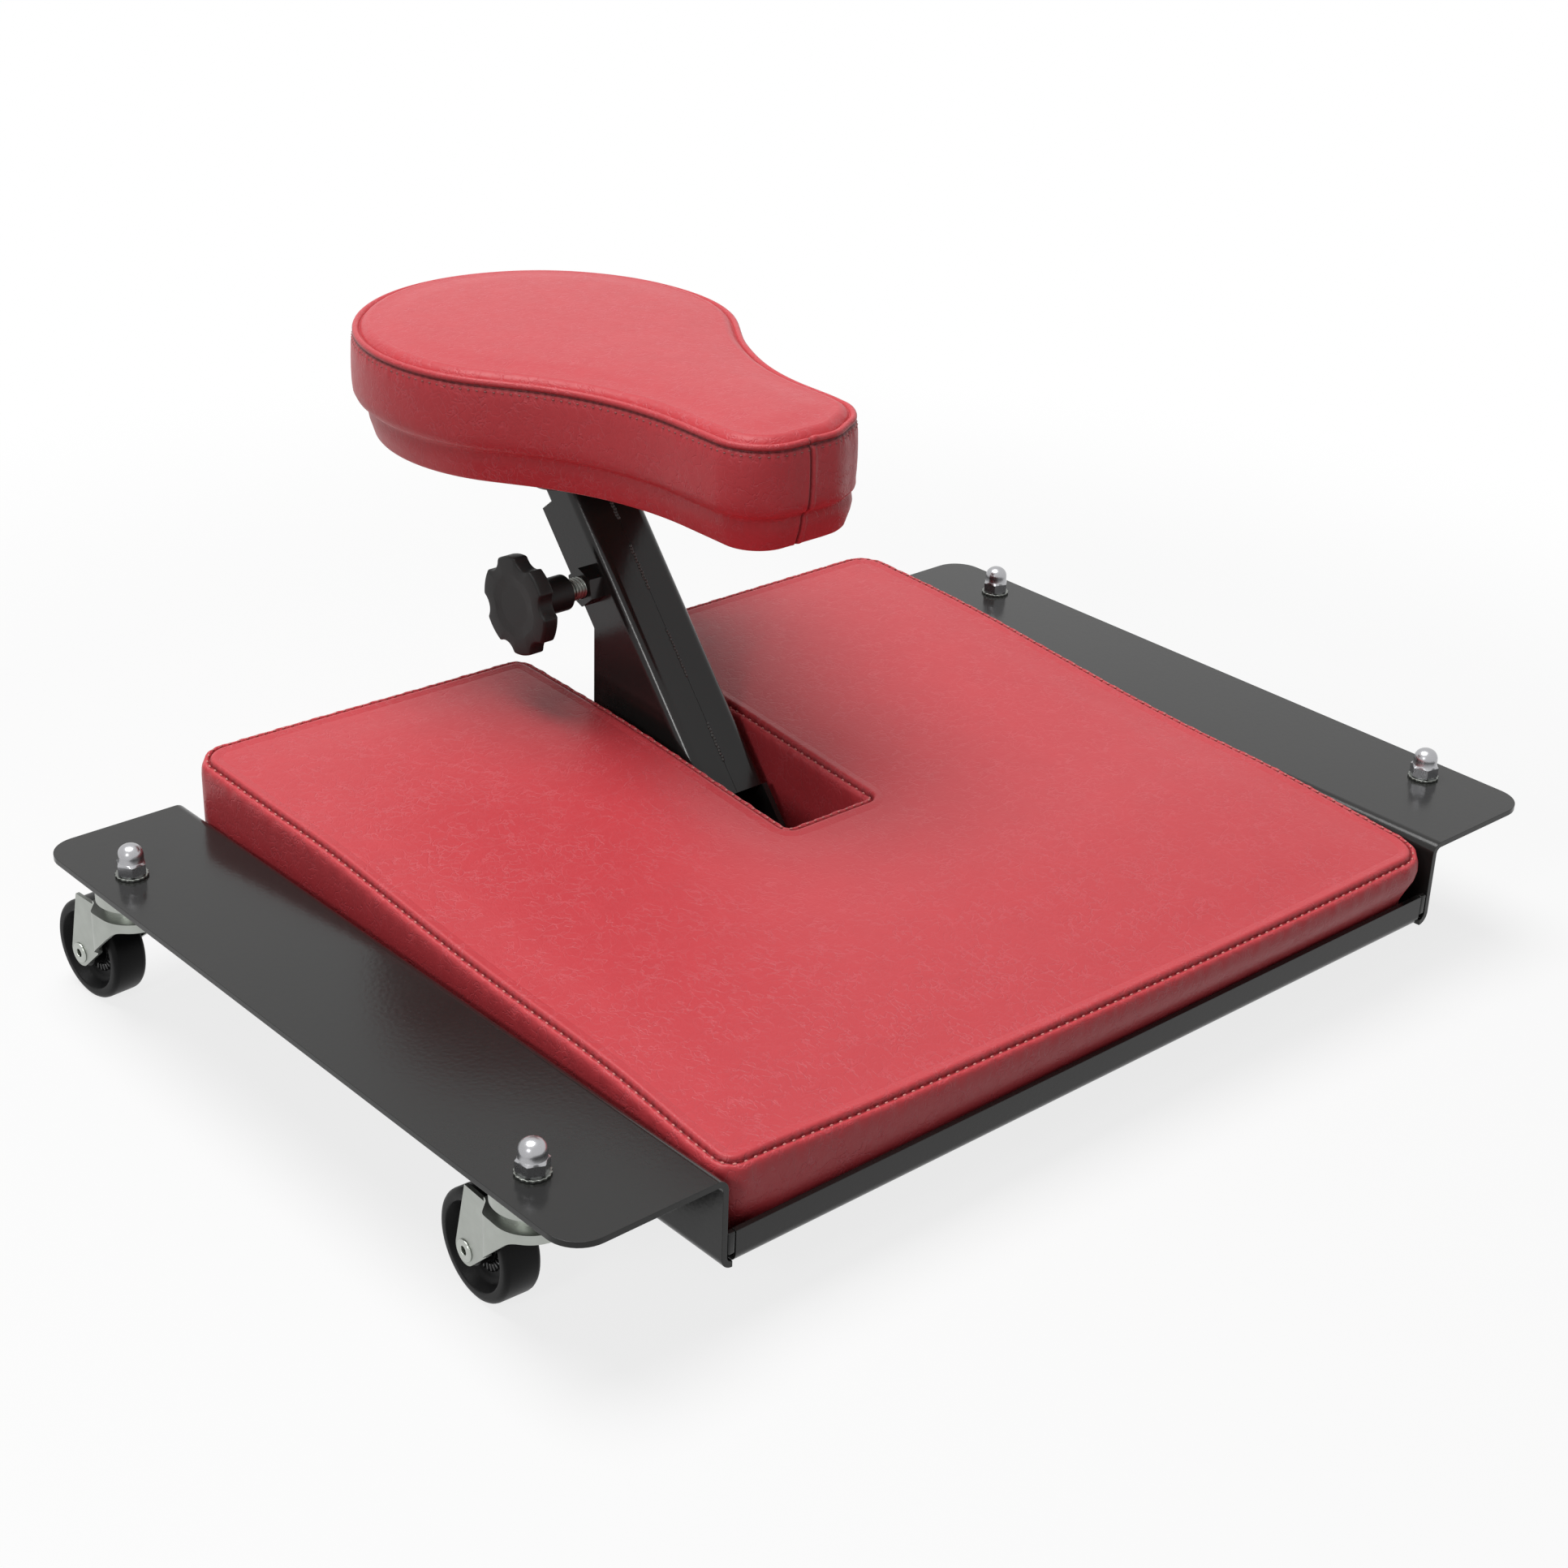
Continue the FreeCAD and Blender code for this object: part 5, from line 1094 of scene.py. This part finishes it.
        # Painted shade: the creases and the groove of the band's join are darkened, for the shade that falls in them.
        dark = crease * (0.7 + 0.3 * pull)
        dark[:, self.BAND] = np.maximum(dark[:, self.BAND], groove)
        dark[:, self.WELT] = np.maximum(dark[:, self.WELT], 0.7 * groove)
        new_piece("saddle_sewn", strip_of(saddle_rings(counts, insets, drops, tucked)), "vinyl", "seat",
                  crease=dark)
        row = slice(self.STITCH_AT, self.STITCH_AT + 1)
        path = saddle_rings(counts, inset[row] + 0.1, drop[row], tucked[row])[:, 0]
        out = np.column_stack([outward(loop), np.zeros(len(loop))])
        # The saddle's stitches take the thread in painted shade.
        new_piece("saddle_stitches", row_of_stitches(path, out, pitch, 0.7 * sizes.thread / MM), "dark_thread",
                  "seat")


class STOOL_OT_metalwork(bpy.types.Operator):
    """Paint the tray and the post, weld the post's seam, close the tray's corners, and finish the boards and screws"""

    bl_idname = "stool.metalwork"
    bl_label = "Metalwork"

    DRESSED = {"post_back_plate": "paint", "seat_plate": "paint", "clamp_nut": "paint", "pad_board": "plywood",
               "seat_board": "plywood", "pad_screws": "zinc", "seat_screws": "zinc", "tube_plug": "plastic"}

    # Painted nodes with rounded edges: body, and width of the rounding
    SOFTENED = {"base_pan": ("base", 0.5), "seat_tube": ("seat", 0.4), "post_plate_left": ("base", 0.35),
                "post_plate_right": ("base", 0.35)}

    # Weld on the post's front: runs as (start, end, bead's length), the beads' pitch, width and height, and their sway
    RUNS = ((60, 86, 1.1), (12, 34, 1.6), (110, 134, 1.9), (150, 164, 2.4))
    BEAD_PITCH, BEAD_WIDTH, BEAD_HEIGHT = 1.7, 2.4, 1.2
    SWAY, SWAY_RATE = 0.25, 2.4

    # Tabs of the lips: width, gap to the lip, lower and upper end over the tray's floor, and rounding
    TAB_WIDTH, TAB_GAP, TAB_LOW, TAB_HIGH, TAB_ROUND = 4.0, 0.1, 6.5, 17.0, 0.5

    def execute(self, context):
        for node, finish in self.DRESSED.items():
            dress(node, finish)
        for node, (body, width) in self.SOFTENED.items():
            softened(node, "paint", body, width)
        self.weld()
        self.corners()
        return {"FINISHED"}

    def corners(self):
        """A small tab at each end of the two lips, up to the tray's wall, over the notch of the corner."""
        ends = ((TRAY_LOW[1], TRAY_LOW[1] + SHEET), (TRAY_HIGH[1] - SHEET, TRAY_HIGH[1]))
        starts = (-LIP_HALF - self.TAB_WIDTH - self.TAB_GAP, LIP_HALF + self.TAB_GAP)
        tabs = [slab((x, near, TRAY_LOW[2] + self.TAB_LOW), (x + self.TAB_WIDTH, far, TRAY_LOW[2] + self.TAB_HIGH),
                     self.TAB_ROUND) for near, far in ends for x in starts]
        new_piece("lip_tabs", joined(*tabs), "paint", "base", sharp=50)

    def weld(self):
        """Short runs of weld on the seam down the post's front: overlapping beads across the seam."""
        axis = np.array(JOINTS["seat_height"]["axis"])
        front = np.array([0, -axis[2], axis[1]])
        across = np.array([1.0, 0, 0])
        foot = np.array([0, TRAY_MIDDLE + POST_FRONT, WING_TOP])
        beads = []
        for start, end, length in self.RUNS:
            reach = np.arange(start, end, self.BEAD_PITCH)[:, None]
            centres = foot + reach * axis + self.SWAY * np.sin(reach * self.SWAY_RATE) * across
            along, out = (np.tile(way, (len(reach), 1)) for way in (across, front))
            beads.append(capsules(centres, along, out, length, self.BEAD_WIDTH, self.BEAD_HEIGHT))
        # The beads take the lighter weld paint, a painted highlight.
        new_piece("post_weld", joined(*beads), "weld", "base")


class STOOL_OT_clamp(bpy.types.Operator):
    """Build the clamp: a lobed knob and a threaded stud"""

    bl_idname = "stool.clamp"
    bl_label = "Clamp"

    # Knob's profile as (radius, distance from the hub's end, rounding), and the row of its rim
    PROFILE = [(0, 0, 0), (9.5, 0, 1.0), (9.5, 16.0, 3.0), (13.6, 23.5, 3.0), (26, 23.5, 1.4), (26, 32.5, 1.4),
               (17.0, 32.5, 5.0), (11.0, 32.15, 5.0), (0, 32.05, 0)]
    RIM = 4

    # Scoops: their circle's radius, depth, turn, softness of their edges, and radii between which they fade in
    SCOOP = 8.5
    SCOOP_DEPTH = 3.5
    SCOOP_TURN = math.radians(-44)
    SOFTNESS = 3.2
    FADE = (14.5, 20)

    # Depth of the stud's thread
    THREAD_DEPTH = 1.1

    def execute(self, context):
        sizes = context.scene.stool_sizes
        left, rear = np.array([-1.0, 0, 0]), np.array([0, 1.0, 0])
        low, high = box_mm("knob_head")
        _, y, z = (low + high) / 2
        hub = aligned((high[0], y, z), left, rear)
        knob = lathe(rounded_profile(self.PROFILE), 240, self.lobes)
        new_piece("knob_lobed", placed(knob, hub), "plastic", "knob", ["knob_head"], sharp=50)
        low, high = box_mm("knob_stud")
        start = aligned((high[0], y, z), left, rear)
        stud = threaded((high[1] - low[1]) / 2, self.THREAD_DEPTH, sizes.stud_pitch / MM, high[0] - low[0])
        # The stud takes the shaded zinc, painted shade.
        new_piece("stud_thread", placed(stud, start), "stud", "knob", ["knob_stud"])
        return {"FINISHED"}

    def lobes(self, angle, radius, height):
        """Six round scoops in the rim: the nearer of the rim and the scoop's circle seen along the angle, blended
        softly, and drawn in only outside the knob's middle."""
        rim = self.PROFILE[self.RIM][0]
        centre = rim + self.SCOOP - self.SCOOP_DEPTH
        turn = (angle - self.SCOOP_TURN + math.pi / 6) % (math.pi / 3) - math.pi / 6
        room = self.SCOOP ** 2 - (centre * np.sin(turn)) ** 2
        clear = rim + 8
        reach = np.where(room > 0, centre * np.cos(turn) - np.sqrt(np.maximum(room, 0)), clear)
        edge = -np.log(np.exp(-self.SOFTNESS * reach) + math.exp(-self.SOFTNESS * rim)) / self.SOFTNESS
        share = smooth_step(radius, *self.FADE)
        return radius * (1 - share + share * edge / rim)


class STOOL_OT_casters(bpy.types.Operator):
    """Build the wheels, rivets, acorn nuts and washers, and finish the forks"""

    bl_idname = "stool.casters"
    bl_label = "Casters"

    # Profiles as (radius, height, rounding): one half of the wheel and of the rivet, and the whole nut and washer
    WHEEL = [(3.15, 0, 0), (3.15, 10, 0), (8.0, 10, 0.8), (8.0, 2.5, 1.2), (17.6, 2.5, 3.0), (20.4, 9, 0.7),
             (25.5, 9, 2.6), (25.5, 0, 0)]
    RIVET = [(2.0, 0, 0), (2.0, 13.6, 0.7), (5.2, 13.6, 0.9), (5.2, 12.52, 0.2), (2.95, 12.52, 0), (2.95, 0, 0)]
    NUT = [(0, 0, 0), (6.6, 0, 0), (7.6, 0.6, 0.3), (7.6, 5.4, 0.3), (6.3, 6.5, 0.2), (6.2, 6.7, 0), (6.2, 9.4, 0)]
    WASHER = [(4.3, 0, 0), (8.0, 0, 0.3), (8.0, 1.5, 0.3), (4.3, 1.5, 0), (4.3, 0, 0)]
    DRESSED = {"stem": "zinc", "thrust_ring": "nylon", "fork": "zinc"}

    # Ribs of the wheel: number, middle as (radius, distance from the wheel's middle), length, width and height
    RIBS = 26
    RIB_AT = (10.8, 2.8)
    RIB_SIZE = (5.0, 1.2, 2.2)

    # Nuts: width across flats, radius beyond which they are hexagons, the dome's height, and each one's turn
    ACROSS_FLATS = 13
    HEXAGON_FROM = 6.3
    DOME_HEIGHT = 5.6
    NUT_TURNS = (0.1, 0.35, 0.6, 0.2)

    # Washers: number of teeth, radius beyond which they lie, and depth
    TEETH = 18
    TEETH_FROM = 6
    TOOTH_DEPTH = 0.35

    def execute(self, context):
        wheel, ribs, rivet = self.turned(self.WHEEL, 72), self.ribs(), self.turned(self.RIVET, 40)
        for corner in CORNERS:
            for part, finish in self.DRESSED.items():
                dress(f"{corner}_{part}", finish)
            roll = JOINTS[f"{corner}_roll"]
            axle = aligned(np.array(roll["pos_m"]) / MM, roll["axis"], np.array([0, 0, 1.0]))
            roller, swivel = f"{corner}_roller", f"{corner}_swivel"
            new_piece(f"{corner}_wheel_moulded", placed(wheel, axle), "wheel", roller,
                      [f"{corner}_wheel"], sharp=45)
            # The ribs are painted lighter than the wheel, a painted highlight.
            new_piece(f"{corner}_wheel_ribs", placed(ribs, axle), "rib", roller)
            new_piece(f"{corner}_rivet", placed(rivet, axle), "zinc_bright", swivel, [f"{corner}_axle"],
                      sharp=60)
        self.fasteners()
        return {"FINISHED"}

    def turned(self, half, segments):
        """A ring turned from half of its profile: out along it and back along its mirror image."""
        profile = rounded_profile(half)
        return lathe(np.concatenate([profile, profile[::-1] * np.array([1, -1])]), segments)

    def ribs(self):
        """A ring of short ribs round the hub on both faces of the wheel."""
        angle = np.linspace(0, FULL_TURN, self.RIBS, endpoint=False)
        along = np.stack([np.cos(angle), np.sin(angle), np.zeros(self.RIBS)], 1)
        out = np.tile([0, 0, 1.0], (self.RIBS, 1))
        radius, height = self.RIB_AT
        return joined(*[capsules(along * radius + out * height * face, along, out, *self.RIB_SIZE) for face in (-1, 1)])

    def fasteners(self):
        """An acorn nut on a washer over each caster's stem: a chamfered hexagon under a dome."""
        base = box_mm("acorn_nuts")[0][2]
        radius, shoulder, _ = self.NUT[-1]
        rise = np.linspace(0, math.pi / 2, 12)[1:]
        dome = np.stack([radius * np.cos(rise) ** 0.9, shoulder + self.DOME_HEIGHT * np.sin(rise) ** 0.95], 1)
        nut = lathe(np.concatenate([rounded_profile(self.NUT, 3), dome]), 120, self.flats)
        washer = lathe(rounded_profile(self.WASHER, 4), 144, self.toothed)
        nuts, washers = [], []
        for corner, turn in zip(CORNERS, self.NUT_TURNS):
            x, y, _ = np.array(JOINTS[f"{corner}_swivel"]["pos_m"]) / MM
            side = np.array([math.cos(turn), math.sin(turn), 0])
            nuts.append(placed(nut, aligned((x, y, base), (0, 0, 1), side)))
            washers.append(placed(washer, aligned((x, y, WING_TOP), (0, 0, 1), side)))
        new_piece("acorn_nuts_domed", joined(*nuts), "chrome", "base", ["acorn_nuts"], sharp=28)
        # The washers take the shaded zinc, painted shade under the nuts.
        new_piece("washers_toothed", joined(*washers), "stud", "base", ["nut_washers"], sharp=50)

    def flats(self, angle, radius, height):
        """A hexagon where the nut is wide: the nearer of the turned edge and the hexagon's."""
        return np.where(radius > self.HEXAGON_FROM, np.minimum(radius, hexagon(angle, self.ACROSS_FLATS)), radius)

    def toothed(self, angle, radius, height):
        """Teeth round the washer: its edge is drawn in between them by a smooth wave."""
        gap = smooth_step(np.cos(angle * self.TEETH), -0.3, 0.3)
        return np.where(radius > self.TEETH_FROM, radius - self.TOOTH_DEPTH * gap, radius)


# Studio: the photo's camera in pixels, degrees and millimetres, and the lamps in metres as (place, target, size)

PHOTO_SIDE = 1932
FOCAL_PIXELS = 3389.544
SENSOR = 36.0
CAMERA = {"azimuth": -42.397, "elevation": 26.417, "roll": 2.131}
CAMERA_DISTANCE = 1418.3
CAMERA_TARGET = np.array([18.89, 41.80 + TRAY_MIDDLE, WING_TOP])
LAMPS = {"key": ((-0.5, 0.7, 4.0), (0, 0, 0.15), 3.0), "side": ((-1.74, -0.70, 1.05), (0, 0.08, 0.15), 0.4)}


def camera_place():
    """The camera's matrix: it looks back along its own z at a point by the wing's height, rolled about its axis."""
    a, e, r = (math.radians(angle) for angle in CAMERA.values())
    back = np.array([math.sin(a) * math.cos(e), -math.cos(a) * math.cos(e), math.sin(e)])
    right = np.array([math.cos(a), math.sin(a), 0.0])
    up = np.cross(back, right)
    rolled_right = right * math.cos(r) + up * math.sin(r)
    rolled_up = -right * math.sin(r) + up * math.cos(r)
    place = np.eye(4)
    place[:3, :3] = np.stack([rolled_right, rolled_up, back], 1)
    place[:3, 3] = (CAMERA_TARGET + back * CAMERA_DISTANCE) * MM
    return Matrix(place.tolist())


class STOOL_OT_studio(bpy.types.Operator):
    """Set the pale floor, the soft lights and the camera"""

    bl_idname = "stool.studio"
    bl_label = "Studio"

    def execute(self, context):
        studio = context.scene.stool_studio
        self.floor(studio)
        self.world(context.scene, studio)
        for name, place in LAMPS.items():
            self.lamp(f"{name}_light", *place, getattr(studio, name))
        lens = bpy.data.cameras.new("camera")
        lens.sensor_fit = "HORIZONTAL"
        lens.sensor_width = SENSOR
        lens.lens = FOCAL_PIXELS * SENSOR / PHOTO_SIDE
        lens.clip_start = 0.05
        camera = bpy.data.objects.new("camera", lens)
        context.scene.collection.objects.link(camera)
        camera.matrix_world = camera_place()
        context.scene.camera = camera
        context.scene.view_settings.view_transform = "Standard"
        return {"FINISHED"}

    def lamp(self, name, where, target, size, power):
        """A round area light aimed at a target."""
        light = bpy.data.lights.new(name, "AREA")
        light.shape = "DISK"
        light.size = size
        light.energy = power
        lamp = bpy.data.objects.new(name, light)
        bpy.context.scene.collection.objects.link(lamp)
        lamp.location = where
        lamp.rotation_euler = (Vector(target) - Vector(where)).to_track_quat("-Z", "Y").to_euler()

    def floor(self, studio):
        """A flat disc: radius grows with the square of its step, so that it is fine near the stool."""
        rings, segments, height = 12, 64, -0.2
        radius = np.linspace(0, 1, rings) ** 2 * studio.floor / MM
        points, faces = lathe(np.stack([radius, np.full(rings, height)], 1), segments)
        mesh = bpy.data.meshes.new("floor")
        mesh.from_pydata((points * MM).tolist(), [], faces[:, ::-1].tolist())
        f = Finish("floor")
        distance = f.node("ShaderNodeVectorMath", {"operation": "LENGTH"}, {0: f.place}, "Value")
        far = distance.between(0.5, 0.95) * 0.2 + 0.8
        grey = f.node("ShaderNodeBsdfDiffuse", {}, {"Color": (0.26, 0.26, 0.26, 1)})
        matt = f.node("ShaderNodeBsdfDiffuse", {}, {"Color": (0.88, 0.88, 0.88, 1)})
        white = f.node("ShaderNodeEmission", {}, {"Color": (1, 1, 1, 1), "Strength": 1.0})
        shown = f.node("ShaderNodeMixShader", {}, {0: far, 1: matt, 2: white})
        f.node_output(f.node("ShaderNodeMixShader", {}, {0: f.background_rays(), 1: grey, 2: shown}))
        mesh.materials.append(f.material)
        piece = bpy.data.objects.new("floor", mesh)
        bpy.context.scene.collection.objects.link(piece)

    def world(self, scene, studio):
        """White to the camera and in reflections, an even grey as light."""
        f = Finish("studio", bpy.data.worlds)
        lit = f.node("ShaderNodeBackground", {}, {"Color": (1, 1, 1, 1), "Strength": studio.ambient})
        white = f.node("ShaderNodeBackground", {}, {"Color": (1, 1, 1, 1), "Strength": 1.0})
        both = f.node("ShaderNodeMixShader", {}, {0: f.background_rays(), 1: lit, 2: white})
        f.node_output(both, "ShaderNodeOutputWorld")
        scene.world = f.material


class STOOL_PT_panel(bpy.types.Panel):
    """The stool's builders and sizes"""

    bl_label = "Rolling Stool"
    bl_idname = "STOOL_PT_panel"
    bl_space_type = "VIEW_3D"
    bl_region_type = "UI"
    bl_category = "Stool"

    def draw(self, context):
        for operator in OPERATORS:
            self.layout.operator(operator.bl_idname)
        for group in (context.scene.stool_sizes, context.scene.stool_colours, context.scene.stool_studio):
            column = self.layout.column()
            for name in type(group).__annotations__:
                column.prop(group, name)


OPERATORS = (STOOL_OT_metalwork, STOOL_OT_kneeling_pad, STOOL_OT_saddle, STOOL_OT_clamp, STOOL_OT_casters,
             STOOL_OT_studio)
CLASSES = (StoolSizes, StoolColours, StoolStudio, *OPERATORS, STOOL_PT_panel)


def register():
    for item in CLASSES:
        bpy.utils.register_class(item)
    bpy.types.Scene.stool_sizes = PointerProperty(type=StoolSizes)
    bpy.types.Scene.stool_colours = PointerProperty(type=StoolColours)
    bpy.types.Scene.stool_studio = PointerProperty(type=StoolStudio)


def unregister():
    del bpy.types.Scene.stool_studio
    del bpy.types.Scene.stool_colours
    del bpy.types.Scene.stool_sizes
    for item in reversed(CLASSES):
        bpy.utils.unregister_class(item)


def main():
    register()
    bpy.ops.stool.metalwork()
    bpy.ops.stool.kneeling_pad()
    bpy.ops.stool.saddle()
    bpy.ops.stool.clamp()
    bpy.ops.stool.casters()
    bpy.ops.stool.studio()


if __name__ == "__main__":
    main()
